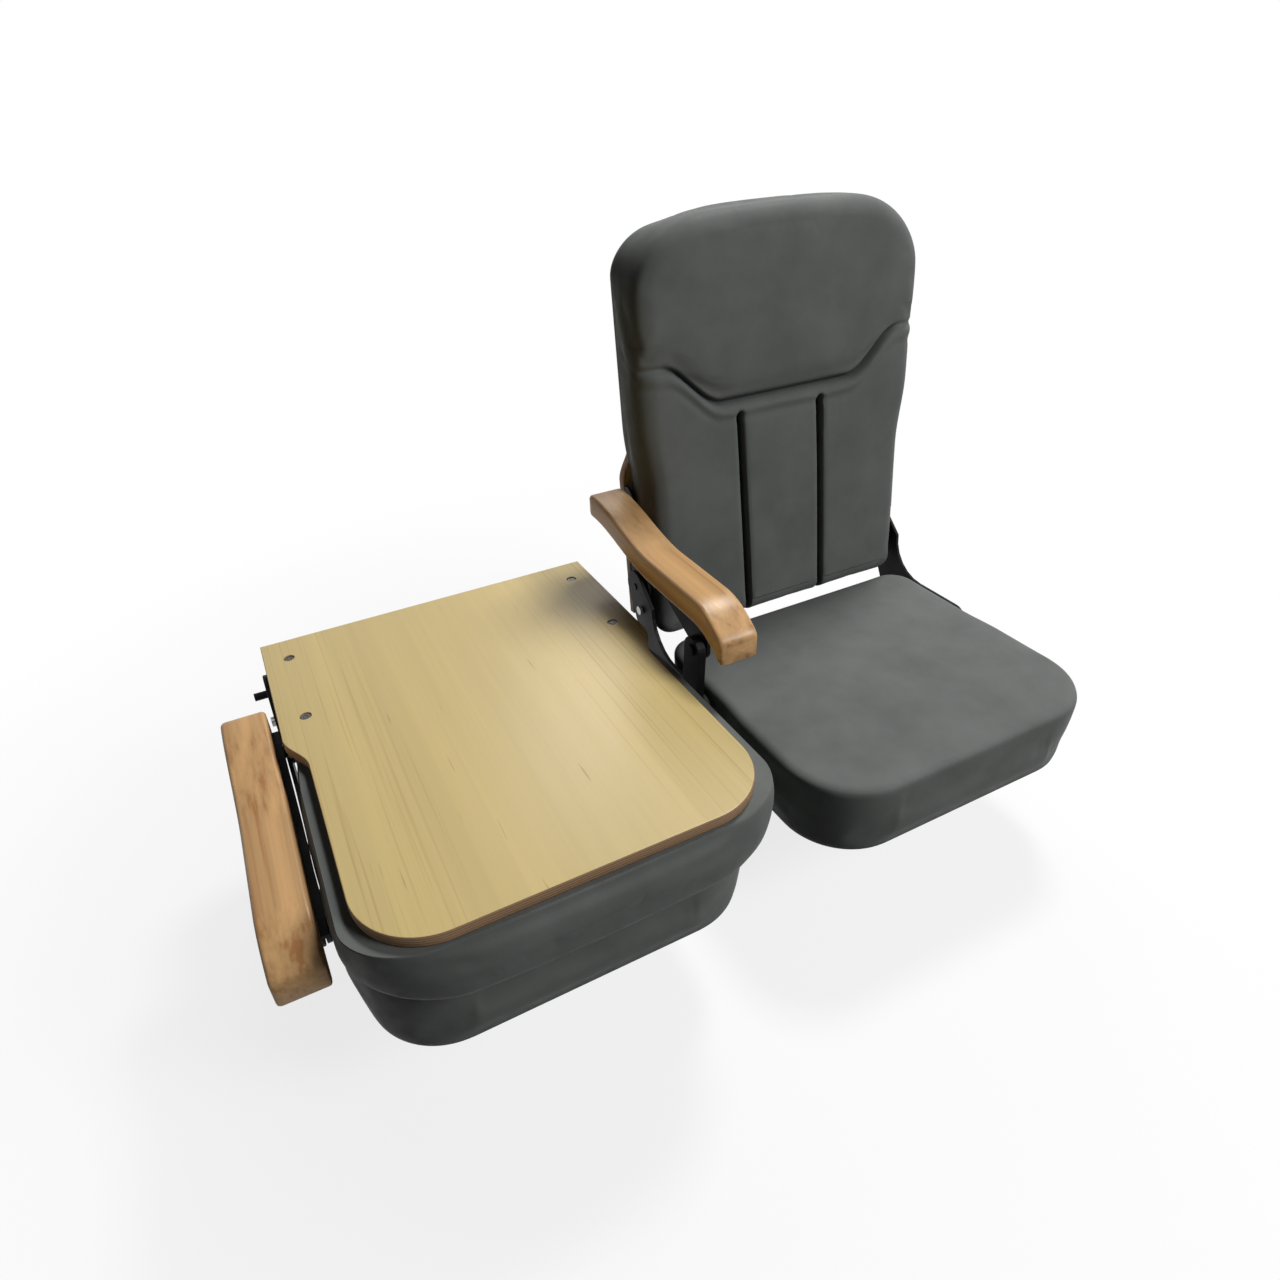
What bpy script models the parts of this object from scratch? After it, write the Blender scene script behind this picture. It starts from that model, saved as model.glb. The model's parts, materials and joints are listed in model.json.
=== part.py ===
"""Two-place folding bleacher seat: two upholstered places on one steel beam.

Each place has a fixed seat, a back that folds down flat over it, and an armrest on its left
side. The armrest stays level: the back's bracket and a front link carry it as a parallelogram.
The left place is shown folded, the right one open.

Metres. X runs along the row, Y to the rear, Z up. The origin is on the deck, below the middle
of the beam.
"""
import math

import bmesh
import bpy
from mathutils import Matrix, Vector

# Row and clearances
PLACE_GAP = 0.074
CLEAR = 0.0003
PIN_FIT = 0.0003
CUT_SLACK = 0.003

# Feet and beam
FOOT_LENGTH = 0.120
FOOT_DEPTH = 0.120
FOOT_T = 0.008
FOOT_HOLE_R = 0.0055
FOOT_HOLE_INSET = 0.018
POST_SIDE = 0.050
POST_HEIGHT = 0.043
BEAM_SIDE = 0.050
BEAM_WALL = 0.003
BEAM_LAP = 0.006
CAP_T = 0.004
CAP_SPIGOT = 0.015

# Seat
SEAT_WIDTH = 0.448
SEAT_DEPTH = 0.392
SEAT_THICK = 0.101
SEAT_CROWN = 0.003
SEAT_ROLL = 0.012
SEAT_TUCK = 0.006
SEAT_FRONT_RADIUS = 0.095
SEAT_REAR_RADIUS = 0.040
SEAT_REAR_Y = 0.100
SEAT_BOARD_T = 0.012
SEAT_BOARD_INSET = 0.022
RAIL_SIDE = 0.025
RAIL_WALL = 0.002
RAIL_LIFT = 0.0085
REAR_RAIL_Y = 0.045
FRONT_RAIL_Y = -0.090

# Back
BACK_LEAN = 5.5
BACK_PAD_T = 0.078
BACK_CROWN = 0.002
FOLD_GAP = 0.011
HINGE_SETBACK = 0.064
HINGE_OFFSET = 0.023
BOARD_LENGTH = 0.535
BOARD_T = 0.013
BOARD_BELOW = 0.056
BOARD_RADIUS = 0.075
BOARD_COVER = 0.001
SHOULDER_STEP = 0.020
SHOULDER_LOW = 0.154
SHOULDER_HIGH = 0.209
PAD_TOP_OVERHANG = 0.0095
PAD_LOW_OVERHANG = 0.0115
PAD_TOP_RADIUS = 0.115
PAD_LOW_RADIUS = 0.019
PAD_ROLL = 0.016
PAD_TUCK = 0.003
PAD_BULGE = 0.004
PAD_FLARE = 0.0040
PAD_FLARE_LOW = 0.145
PAD_FLARE_RUN = 0.040
PAD_TOP_BOW = 0.003

# Sewn relief of the back pad
SEAM_HEIGHT = 0.256
SEAM_RISE = 0.058
SEAM_FLAT_HALF = 0.105
SEAM_STEP = 0.090
SEAM_DEPTH = 0.007
SEAM_HALF_WIDTH = 0.006
SEAM_REACH = 0.090
ROLL_RISE = 0.003
ROLL_DROP = 0.016
ROLL_HALF_WIDTH = 0.010
HEAD_RISE = 0.003
HEAD_RUN = 0.030
CHANNEL_HALF_GAP = 0.067
CHANNEL_DEPTH = 0.010
CHANNEL_HALF_WIDTH = 0.006

# Steel side pieces, from the seat's edge outwards
SEAT_SIDE_GAP = 0.002
PLATE_T = 0.005
HINGE_GAP = 0.002
WEB_T = 0.004
PAD_SIDE_GAP = 0.0012
EYE_RADIUS = 0.024
LEG_LEAN = 27.6
THROAT_RADIUS = 0.062
THROAT_SETBACK = 0.112
PLATE_TOP_DROP = 0.010
PLATE_MARGIN = 0.008
NOSE_RADIUS = 0.020
BRACKET_BELOW = 0.045
BRACKET_ABOVE = 0.148
FLANGE_WIDTH = 0.045
FLANGE_T = 0.004
REBATE_FIT = 0.003
HINGE_PIN_R = 0.005
HINGE_COLLAR_R = 0.009
HINGE_PIN_LONG = 0.016
HINGE_PIN_SHORT = 0.0015
STOP_PIN_R = 0.004
STOP_HEAD_R = 0.0065
STOP_HEAD_T = 0.005
STOP_REACH = 0.0355
STOP_ANGLE = 237.6
STOP_FACE = 0.008
SCREW_INSET = 0.030
SCREW_LOW = -0.0105
SCREW_HIGH = 0.1216
SCREW_R = 0.0025
SCREW_HEAD_R = 0.0057
SCREW_HEAD_T = 0.0032
POCKET_R = 0.0063
POCKET_DEPTH = 0.0050

# Armrest linkage
LINK_LENGTH = 0.106
LINK_LEAN = 3.5
LINK_SPACING = 0.188
LINK_WIDTH = 0.035
LINK_T = 0.012
LINK_GAP = 0.002
LUG_RADIUS = 0.016
CARRIER_T = 0.005
STRIP_T = 0.004
STRIP_START = 0.010
STRIP_END = 0.302
STRIP_LIP = 0.0045
STRIP_PAST_MIDDLE = 0.005
ARM_PIN_R = 0.005
ARM_PIN_HEAD_R = 0.008
ARM_PIN_HEAD_T = 0.0025
ARM_COLLAR_R = 0.0075
ARM_WIDTH = 0.050
ARM_T = 0.030
ARM_LENGTH = 0.340
ARM_REAR = 0.033
ARM_REAR_ROUND = 0.012
ARM_LIFT = 0.0155
ARM_FALL = 0.026
ARM_FALL_START = 0.014
ARM_FALL_END = 0.172
ARM_DROOP = 0.029
ARM_DROOP_RUN = 0.065
ARM_EDGE = 0.005
ARM_SCREW_R = 0.00225
ARM_SCREW_HEAD_R = 0.0045
ARM_SCREW_HEAD_T = 0.003
ARM_SCREW_BITE = 0.018
ARM_SCREW_AT = (0.080, 0.230)

# Facets
ROUND_STEPS = 16
ARC_STEPS = 6
ARM_STEPS = 8

# Heights that follow from the sizes above
BEAM_LOW = FOOT_T + POST_HEIGHT + CLEAR
BEAM_TOP = BEAM_LOW + BEAM_SIDE
RAIL_LOW = BEAM_TOP + RAIL_LIFT
RAIL_TOP = RAIL_LOW + RAIL_SIDE
SEAT_BOARD_LOW = RAIL_TOP + CLEAR
SEAT_LOW = SEAT_BOARD_LOW + SEAT_BOARD_T + CLEAR
SEAT_TOP = SEAT_LOW + SEAT_THICK
SEAT_FRONT_Y = SEAT_REAR_Y - SEAT_DEPTH

# Row pitch, and distances from a place's centre plane out to the side pieces
PITCH = SEAT_WIDTH + PLACE_GAP
PLATE_IN = SEAT_WIDTH / 2 + SEAT_SIDE_GAP
PLATE_OUT = PLATE_IN + PLATE_T
WEB_OUT = PLATE_IN - HINGE_GAP
WEB_IN = WEB_OUT - WEB_T
PAD_HALF = WEB_IN - PAD_SIDE_GAP
BOARD_WIDE_HALF = WEB_OUT + BOARD_COVER
BOARD_NARROW_HALF = BOARD_WIDE_HALF - SHOULDER_STEP
CARRIER_IN = PLATE_OUT + LINK_GAP
CARRIER_OUT = CARRIER_IN + CARRIER_T
LINK_IN = CARRIER_OUT + LINK_GAP
LINK_OUT = LINK_IN + LINK_T

# Hinge axis, and the link's lower pivot on the side plate
HINGE_Y = SEAT_REAR_Y + HINGE_SETBACK
HINGE_Z = SEAT_TOP + FOLD_GAP + BACK_PAD_T + CLEAR - HINGE_OFFSET
PLATE_TOP = SEAT_TOP - PLATE_TOP_DROP
LINK_Y = HINGE_Y - LINK_SPACING
LINK_Z = PLATE_TOP - NOSE_RADIUS
PIVOT_STEP = (LINK_Y - HINGE_Y, LINK_Z - HINGE_Z)
FOLD = 90 + BACK_LEAN

PLACES = (("left", -PITCH / 2, FOLD), ("right", PITCH / 2, 0.0))

for old in list(bpy.data.objects):
    bpy.data.objects.remove(old, do_unlink=True)

PARTS = bpy.data.collections.new("bleacher_seat")
CUTTERS = bpy.data.collections.new("bleacher_seat_cutters")
bpy.context.scene.collection.children.link(PARTS)
bpy.context.scene.collection.children.link(CUTTERS)


# Materials

def finish(name, colour, roughness, metallic=0.0):
    """Principled material with an sRGB colour given in 0 to 255."""
    material = bpy.data.materials.new(name)
    material.use_nodes = True
    shader = material.node_tree.nodes["Principled BSDF"]
    linear = [((c / 255 + 0.055) / 1.055) ** 2.4 for c in colour]
    shader.inputs["Base Color"].default_value = (*linear, 1.0)
    shader.inputs["Roughness"].default_value = roughness
    shader.inputs["Metallic"].default_value = metallic
    return material


LEATHERETTE = finish("grey_leatherette", (104, 109, 104), 0.50)
PLYWOOD = finish("pale_plywood", (209, 186, 140), 0.40)
BEECH = finish("beech", (190, 152, 108), 0.38)
STEEL = finish("black_steel", (18, 18, 19), 0.45, 0.3)
ZINC = finish("zinc_plate", (176, 178, 180), 0.32, 1.0)
PLASTIC = finish("black_plastic", (24, 24, 25), 0.55)


# Mesh tools

def arc(centre, radius, start, end, steps=ARC_STEPS):
    """Points along an arc, angles in degrees, both ends included."""
    turns = [math.radians(start + (end - start) * i / steps) for i in range(steps + 1)]
    return [(centre[0] + radius * math.cos(t), centre[1] + radius * math.sin(t)) for t in turns]


def ring(centre, radius):
    """Points of a full circle."""
    return arc(centre, radius, 0, 360, ROUND_STEPS)[:-1]


def box_outline(low, high):
    """Corners of a rectangle."""
    return [(low[0], low[1]), (high[0], low[1]), (high[0], high[1]), (low[0], high[1])]


def smoothstep(value):
    """Ease from 0 to 1."""
    t = min(max(value, 0.0), 1.0)
    return t * t * (3 - 2 * t)


def evaluated(obj):
    """The object's mesh with its modifiers and place applied; the object is removed."""
    bpy.context.view_layer.update()
    graph = bpy.context.evaluated_depsgraph_get()
    mesh = bpy.data.meshes.new_from_object(obj.evaluated_get(graph))
    mesh.transform(obj.matrix_world)
    bpy.data.objects.remove(obj, do_unlink=True)
    return mesh


def working_object(data, collection=CUTTERS):
    """A guide object that is never part of the model."""
    obj = bpy.data.objects.new("guide", data)
    collection.objects.link(obj)
    obj.hide_render = True
    obj.display_type = "WIRE"
    return obj


def extruded(loops, low, high, plane):
    """A flat outline with its holes, extruded from low to high across its plane."""
    curve = bpy.data.curves.new("outline", "CURVE")
    curve.dimensions = "2D"
    curve.fill_mode = "BOTH"
    curve.extrude = (high - low) / 2
    for loop in loops:
        spline = curve.splines.new("POLY")
        spline.points.add(len(loop) - 1)
        for point, (a, b) in zip(spline.points, loop):
            point.co = (a, b, 0, 1)
        spline.use_cyclic_u = True
    turns = {"XY": (0, 0, 0), "XZ": (math.pi / 2, 0, 0), "YZ": (math.pi / 2, 0, math.pi / 2)}
    axes = {"XY": (0, 0, 1), "XZ": (0, 1, 0), "YZ": (1, 0, 0)}
    obj = working_object(curve)
    obj.rotation_euler = turns[plane]
    obj.location = Vector(axes[plane]) * (low + high) / 2
    mesh = evaluated(obj)
    bm = bmesh.new()
    bm.from_mesh(mesh)
    bmesh.ops.remove_doubles(bm, verts=bm.verts, dist=0.00001)
    bmesh.ops.recalc_face_normals(bm, faces=bm.faces)
    bm.to_mesh(mesh)
    bm.free()
    return mesh


def turned(profile, side=1):
    """A shape turned about X from (distance, radius) steps that run inwards; side mirrors it."""
    bm = bmesh.new()
    points = [bm.verts.new((radius, 0, distance)) for distance, radius in profile]
    for first, second in zip(points, points[1:]):
        bm.edges.new((first, second))
    mesh = bpy.data.meshes.new("profile")
    bm.to_mesh(mesh)
    bm.free()
    obj = working_object(mesh)
    screw = obj.modifiers.new("turn", "SCREW")
    screw.axis = "Z"
    screw.steps = ROUND_STEPS
    screw.render_steps = ROUND_STEPS
    screw.use_merge_vertices = True
    screw.merge_threshold = 0.00001
    obj.rotation_euler = (0, math.copysign(math.pi / 2, side), 0)
    return evaluated(obj)


def stepped_pin(steps, side):
    """A pin made of (outer end, radius) lengths listed from the outside inwards, then its inner end."""
    profile = [(steps[0][0], 0)]
    for (end, radius), (next_end, _) in zip(steps, steps[1:]):
        profile += [(end, radius), (next_end, radius)]
    profile.append((steps[-1][0], 0))
    return turned(profile, side)


def combined(mesh, other, operation):
    """Boolean of two meshes."""
    obj = working_object(mesh)
    tool = working_object(other)
    boolean = obj.modifiers.new("combine", "BOOLEAN")
    boolean.object = tool
    boolean.operation = operation
    boolean.solver = "EXACT"
    result = evaluated(obj)
    bpy.data.objects.remove(tool, do_unlink=True)
    return result


def bevelled(mesh, width, segments, angle=40):
    """The mesh with its sharp edges rounded."""
    obj = working_object(mesh)
    bevel = obj.modifiers.new("edges", "BEVEL")
    bevel.width = width
    bevel.segments = segments
    bevel.limit_method = "ANGLE"
    bevel.angle_limit = math.radians(angle)
    return evaluated(obj)


def moved(mesh, offset):
    """A shifted copy of a mesh."""
    copy = mesh.copy()
    copy.transform(Matrix.Translation(offset))
    return copy


def pivot(name, location, turn=0.0):
    """An empty on a joint's axis, turned about X by degrees."""
    empty = bpy.data.objects.new(name, None)
    PARTS.objects.link(empty)
    empty.location = location
    empty.rotation_euler = (math.radians(turn), 0, 0)
    return empty


def place(name, mesh, material, parent=None):
    """A finished piece under its frame."""
    mesh = mesh.copy()
    mesh.name = name
    mesh.materials.clear()
    mesh.materials.append(material)
    mesh.shade_smooth()
    mesh.set_sharp_from_angle(angle=math.radians(35))
    obj = bpy.data.objects.new(name, mesh)
    PARTS.objects.link(obj)
    obj.parent = parent
    return obj


# Cushions

class Pad:
    """Outline of a cushion: half width, its two ends along, and a corner radius at each end."""

    def __init__(self, half, ends, radii, height, crown, roll, tuck):
        self.half = half
        self.low, self.high = ends
        self.low_radius, self.high_radius = radii
        self.height = height
        self.crown = crown
        self.roll = roll
        self.tuck = tuck
        self.bulge = 0.0
        self.flare = 0.0
        self.bow = 0.0

    def point(self, across, along, inset):
        """Place on the outline drawn in by inset; along is 0 to 1, 1 to 2 and 2 to 3 for
        the low corner, the straight run and the high corner."""
        b = self.low + self.low_radius + (min(max(along, 1), 2) - 1) * self.run()
        free = smoothstep((b - PAD_FLARE_LOW) / PAD_FLARE_RUN)
        half = self.half - max(inset, inset * free) + self.flare * free
        if along <= 1:
            radius = self.low_radius - inset
            turn = math.radians(90 * along)
            return across * (half - radius * (1 - math.sin(turn))), \
                self.low + inset + radius * (1 - math.cos(turn))
        if along >= 2:
            radius = self.high_radius - inset
            turn = math.radians(90 * (3 - along))
            bow = self.bow * (along - 2) * (1 - across ** 2)
            return across * (half - radius * (1 - math.sin(turn))), \
                self.high - inset - radius * (1 - math.cos(turn)) + bow
        return across * half, b

    def run(self):
        """Length of the straight run between the corners."""
        return self.high - self.high_radius - self.low - self.low_radius

    def run_fraction(self, b):
        """The along value of a distance on the straight run."""
        return 1 + (b - self.low - self.low_radius) / self.run()


def cushion(pad, columns, rows, relief, warp):
    """Crowned top grid, rolled edge and drawn-in sides down to a flat base.

    Local X is across, Y along and Z up from the base."""
    bm = bmesh.new()
    across_tag = bm.verts.layers.float.new("across")
    along_tag = bm.verts.layers.float.new("along")
    bmesh.ops.create_grid(bm, x_segments=len(columns) - 1, y_segments=len(rows) - 1, size=0.5)
    for vert in bm.verts:
        vert[across_tag] = columns[round((vert.co.x + 0.5) * (len(columns) - 1))]
        vert[along_tag] = rows[round((vert.co.y + 0.5) * (len(rows) - 1))]
    inner_half = pad.half - pad.roll
    middle = (pad.low + pad.high) / 2
    reach = (pad.high - pad.low) / 2 - pad.roll
    for vert in bm.verts:
        a, b = pad.point(vert[across_tag], vert[along_tag], pad.roll)
        dome = (1 - (a / inner_half) ** 2) * (1 - ((b - middle) / reach) ** 2)
        b += warp(a, b)
        vert.co = (a, b, pad.height + pad.crown * max(dome, 0.0) + relief(a, b))

    side = pad.height - pad.roll
    rings = []
    for turn in (math.radians(30), math.radians(60), math.radians(90)):
        rings.append((pad.roll - (pad.roll + pad.bulge) * math.sin(turn), side + pad.roll * math.cos(turn)))
    rings += [(0.0, side - 1.4 * pad.bulge)] if pad.bulge else []
    rings += [(pad.tuck / 4, side / 2), (pad.tuck, 0.0)]
    edge = [e for e in bm.edges if e.is_boundary]
    lip = {}
    for vert in {v for e in edge for v in e.verts}:
        lip[(vert[across_tag], vert[along_tag])] = (vert.co.y, vert.co.z)
    for inset, height in rings:
        grown = bmesh.ops.extrude_edge_only(bm, edges=edge)["geom"]
        edge = [e for e in grown if isinstance(e, bmesh.types.BMEdge) and e.is_boundary]
        for vert in [v for v in grown if isinstance(v, bmesh.types.BMVert)]:
            key = (vert[across_tag], vert[along_tag])
            a, b = pad.point(*key, inset)
            shift = lip[key][0] - pad.point(*key, pad.roll)[1]
            sink = (lip[key][1] - pad.height) * height / pad.height
            vert.co = (a, b + shift, height + sink)
    bmesh.ops.contextual_create(bm, geom=edge)
    bmesh.ops.recalc_face_normals(bm, faces=bm.faces)
    mesh = bpy.data.meshes.new("cushion")
    bm.to_mesh(mesh)
    bm.free()
    return mesh


def mirrored(values):
    """Positive steps from the middle, with their mirror images."""
    return [-v for v in reversed(values) if v > 0] + list(values)


def seat_cushion():
    """Plain crowned seat pad."""
    pad = Pad(SEAT_WIDTH / 2, (SEAT_FRONT_Y, SEAT_REAR_Y), (SEAT_FRONT_RADIUS, SEAT_REAR_RADIUS),
              SEAT_THICK, SEAT_CROWN, SEAT_ROLL, SEAT_TUCK)
    columns = mirrored([0.0, 0.25, 0.5, 0.75, 0.92, 1.0])
    rows = [0.0, 0.2, 0.4, 0.6, 0.8, 1.0, 1.25, 1.5, 1.75, 2.0, 2.33, 2.66, 3.0]
    mesh = cushion(pad, columns, rows, lambda a, b: 0.0, lambda a, b: 0.0)
    mesh.transform(Matrix.Translation((0, 0, SEAT_LOW)))
    return mesh


def seam_rise(a):
    """How far the back's cross seam climbs towards the sides."""
    return SEAM_RISE * smoothstep((abs(a) - SEAM_FLAT_HALF) / SEAM_STEP)


def back_warp(a, b):
    """Rows near the cross seam bend along with it."""
    return seam_rise(a) * math.exp(-((b - SEAM_HEIGHT) / SEAM_REACH) ** 2)


def back_relief(a, b):
    """Cross seam with a roll below it, the fuller head section and the two long channels."""
    past = b - SEAM_HEIGHT - seam_rise(a)
    seam = -SEAM_DEPTH * math.exp(-(past / SEAM_HALF_WIDTH) ** 2)
    roll = ROLL_RISE * math.exp(-((past + ROLL_DROP) / ROLL_HALF_WIDTH) ** 2)
    head = HEAD_RISE * smoothstep(past / HEAD_RUN) * smoothstep((BOARD_LENGTH - BOARD_BELOW - b) / HEAD_RUN)
    below = smoothstep(-past / SEAM_HALF_WIDTH)
    channel = -CHANNEL_DEPTH * below * math.exp(-((abs(a) - CHANNEL_HALF_GAP) / CHANNEL_HALF_WIDTH) ** 2)
    return seam + roll + head + channel


def back_cushion():
    """Back pad with its sewn relief, standing on the front of the back board."""
    low = -BOARD_BELOW - PAD_LOW_OVERHANG
    high = BOARD_LENGTH - BOARD_BELOW + PAD_TOP_OVERHANG
    pad = Pad(PAD_HALF, (low, high), (PAD_LOW_RADIUS, PAD_TOP_RADIUS), BACK_PAD_T, BACK_CROWN,
              PAD_ROLL, PAD_TUCK)
    pad.bulge = PAD_BULGE
    pad.flare = PAD_FLARE
    pad.bow = PAD_TOP_BOW
    inner_half = PAD_HALF - PAD_ROLL
    step = CHANNEL_HALF_WIDTH
    near = [CHANNEL_HALF_GAP + k * step for k in (-1.8, -0.8, 0.0, 0.8, 1.8)]
    wide = SEAM_FLAT_HALF + SEAM_STEP / 2
    steps = [0.0, CHANNEL_HALF_GAP / 2] + near + [SEAM_FLAT_HALF, (SEAM_FLAT_HALF + wide) / 2, wide]
    columns = mirrored([s / inner_half for s in steps] + [0.90, 1.0])
    seam_rows = [-3.6, -2.6, -1.7, -0.8, 0.0, 1.0, 2.6, 5.0]
    around = [pad.run_fraction(SEAM_HEIGHT + k * SEAM_HALF_WIDTH) for k in seam_rows]
    lower = [1 + (around[0] - 1) * k / 4 for k in range(4)]
    upper = [around[-1] + (2 - around[-1]) * k / 2 for k in (1, 2)]
    rows = [0.0, 0.5] + lower + around + upper + [2.2, 2.4, 2.6, 2.8, 3.0]
    mesh = cushion(pad, columns, rows, back_relief, back_warp)
    mesh.transform(Matrix.Translation((0, HINGE_OFFSET - CLEAR, 0)) @ Matrix.Rotation(math.pi / 2, 4, "X"))
    return mesh


# Base

def beam_outline(side, low):
    """Square section of a tube that stands on low, centred on the beam."""
    return box_outline((-side / 2, low), (side / 2, low + side))


def beam():
    """Square tube under both places."""
    half = PITCH / 2 + PLATE_OUT + BEAM_LAP
    inner = beam_outline(BEAM_SIDE - 2 * BEAM_WALL, BEAM_LOW + BEAM_WALL)
    return extruded([beam_outline(BEAM_SIDE, BEAM_LOW), inner], -half, half, "YZ")


def beam_cap(side):
    """Plug with a flat head for one end of the beam."""
    end = PITCH / 2 + PLATE_OUT + BEAM_LAP
    near = sorted((side * (end + CLEAR), side * (end + CLEAR + CAP_T)))
    head = extruded([beam_outline(BEAM_SIDE, BEAM_LOW)], *near, "YZ")
    inset = BEAM_WALL + CLEAR
    plug_outline = beam_outline(BEAM_SIDE - 2 * inset, BEAM_LOW + inset)
    plug_span = sorted((side * (end - CAP_SPIGOT), side * (end + CLEAR + CAP_T / 2)))
    return combined(head, extruded([plug_outline], *plug_span, "YZ"), "UNION")


def foot():
    """Deck plate with four bolt holes and a short post that carries the beam."""
    half = (FOOT_LENGTH / 2, FOOT_DEPTH / 2)
    holes = [ring((sx * (half[0] - FOOT_HOLE_INSET), sy * (half[1] - FOOT_HOLE_INSET)), FOOT_HOLE_R)
             for sx in (-1, 1) for sy in (-1, 1)]
    base = extruded([box_outline((-half[0], -half[1]), half)] + holes, 0, FOOT_T, "XY")
    side = POST_SIDE / 2
    post = extruded([box_outline((-side, -side), (side, side))], FOOT_T / 2, FOOT_T + POST_HEIGHT, "XY")
    return combined(base, post, "UNION")


def side_plate(side):
    """Steel side: hinge eye, leaning leg, forward arm to the link pivot and seat rail."""
    eye = (HINGE_Y, HINGE_Z)
    nose = (LINK_Y, LINK_Z)
    low = BEAM_TOP + CLEAR
    throat = (HINGE_Y - THROAT_SETBACK, PLATE_TOP + THROAT_RADIUS)
    lean = math.radians(LEG_LEAN)
    heel_y = HINGE_Y + EYE_RADIUS * math.cos(lean)
    heel_z = HINGE_Z - EYE_RADIUS * math.sin(lean)
    foot_y = heel_y - (heel_z - low) * math.tan(lean)
    toe_y = FRONT_RAIL_Y - RAIL_SIDE / 2 - PLATE_MARGIN
    toe_z = RAIL_TOP + PLATE_MARGIN
    outline = arc(eye, EYE_RADIUS, 135, -LEG_LEAN, 2 * ARC_STEPS)
    outline += [(foot_y, low), (toe_y, low), (toe_y, toe_z), (nose[0] - NOSE_RADIUS, toe_z)]
    outline += arc(nose, NOSE_RADIUS, 180, 90)
    outline += arc(throat, THROAT_RADIUS, 270, 360)
    holes = [ring(eye, HINGE_PIN_R + PIN_FIT),
             ring(nose, ARM_PIN_R + PIN_FIT),
             ring(stop_centre(), STOP_PIN_R + PIN_FIT)]
    return extruded([outline] + holes, *sorted((side * PLATE_IN, side * PLATE_OUT)), "YZ")


def stop_centre():
    """Stop bolt's place on the side plate."""
    turn = math.radians(STOP_ANGLE)
    return HINGE_Y + STOP_REACH * math.cos(turn), HINGE_Z + STOP_REACH * math.sin(turn)


def seat_rail(y):
    """Square tube between the two side plates, under the seat board."""
    def section(side):
        margin = (RAIL_SIDE - side) / 2
        return box_outline((y - side / 2, RAIL_LOW + margin), (y + side / 2, RAIL_TOP - margin))
    reach = PLATE_IN - CLEAR
    return extruded([section(RAIL_SIDE), section(RAIL_SIDE - 2 * RAIL_WALL)], -reach, reach, "YZ")


def rounded_outline(half, low, high, low_radius, high_radius):
    """Rectangle with two corner radii, symmetric about X = 0."""
    right = arc((half - low_radius, low + low_radius), low_radius, -90, 0)
    right += arc((half - high_radius, high - high_radius), high_radius, 0, 90)
    return right + [(-x, y) for x, y in reversed(right)]


def seat_board():
    """Plywood under the seat cushion."""
    outline = rounded_outline(SEAT_WIDTH / 2 - SEAT_BOARD_INSET, SEAT_FRONT_Y + SEAT_BOARD_INSET,
                              SEAT_REAR_Y - SEAT_BOARD_INSET, SEAT_FRONT_RADIUS - SEAT_BOARD_INSET,
                              SEAT_REAR_RADIUS - SEAT_BOARD_INSET)
    return extruded([outline], SEAT_BOARD_LOW, SEAT_BOARD_LOW + SEAT_BOARD_T, "XY")


def stop_bolt(side):
    """Headed bolt through the side plate; its end limits the back both ways."""
    y, z = stop_centre()
    steps = [(PLATE_OUT + CLEAR + STOP_HEAD_T, STOP_HEAD_R), (PLATE_OUT + CLEAR, STOP_PIN_R), (WEB_IN, 0)]
    return moved(stepped_pin(steps, side), (0, y, z))


def link_bolt():
    """Lower pivot of the front link, riveted into the left side plate."""
    steps = [(LINK_OUT + CLEAR + ARM_PIN_HEAD_T, ARM_PIN_HEAD_R), (LINK_OUT + CLEAR, ARM_PIN_R),
             (LINK_IN - CLEAR, ARM_COLLAR_R), (PLATE_OUT + CLEAR, ARM_PIN_R), (PLATE_IN, 0)]
    return moved(stepped_pin(steps, -1), (0, LINK_Y, LINK_Z))


# Back, in a frame on the hinge axis with Z along the board

def turn_point(radius, angle):
    """Place at a radius and an angle in degrees from the back's own rearward axis."""
    return radius * math.cos(math.radians(angle)), radius * math.sin(math.radians(angle))


def arm_pivot_on_back():
    """Armrest pivot on the bracket."""
    return turn_point(LINK_LENGTH, 90 + LINK_LEAN + BACK_LEAN)


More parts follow.
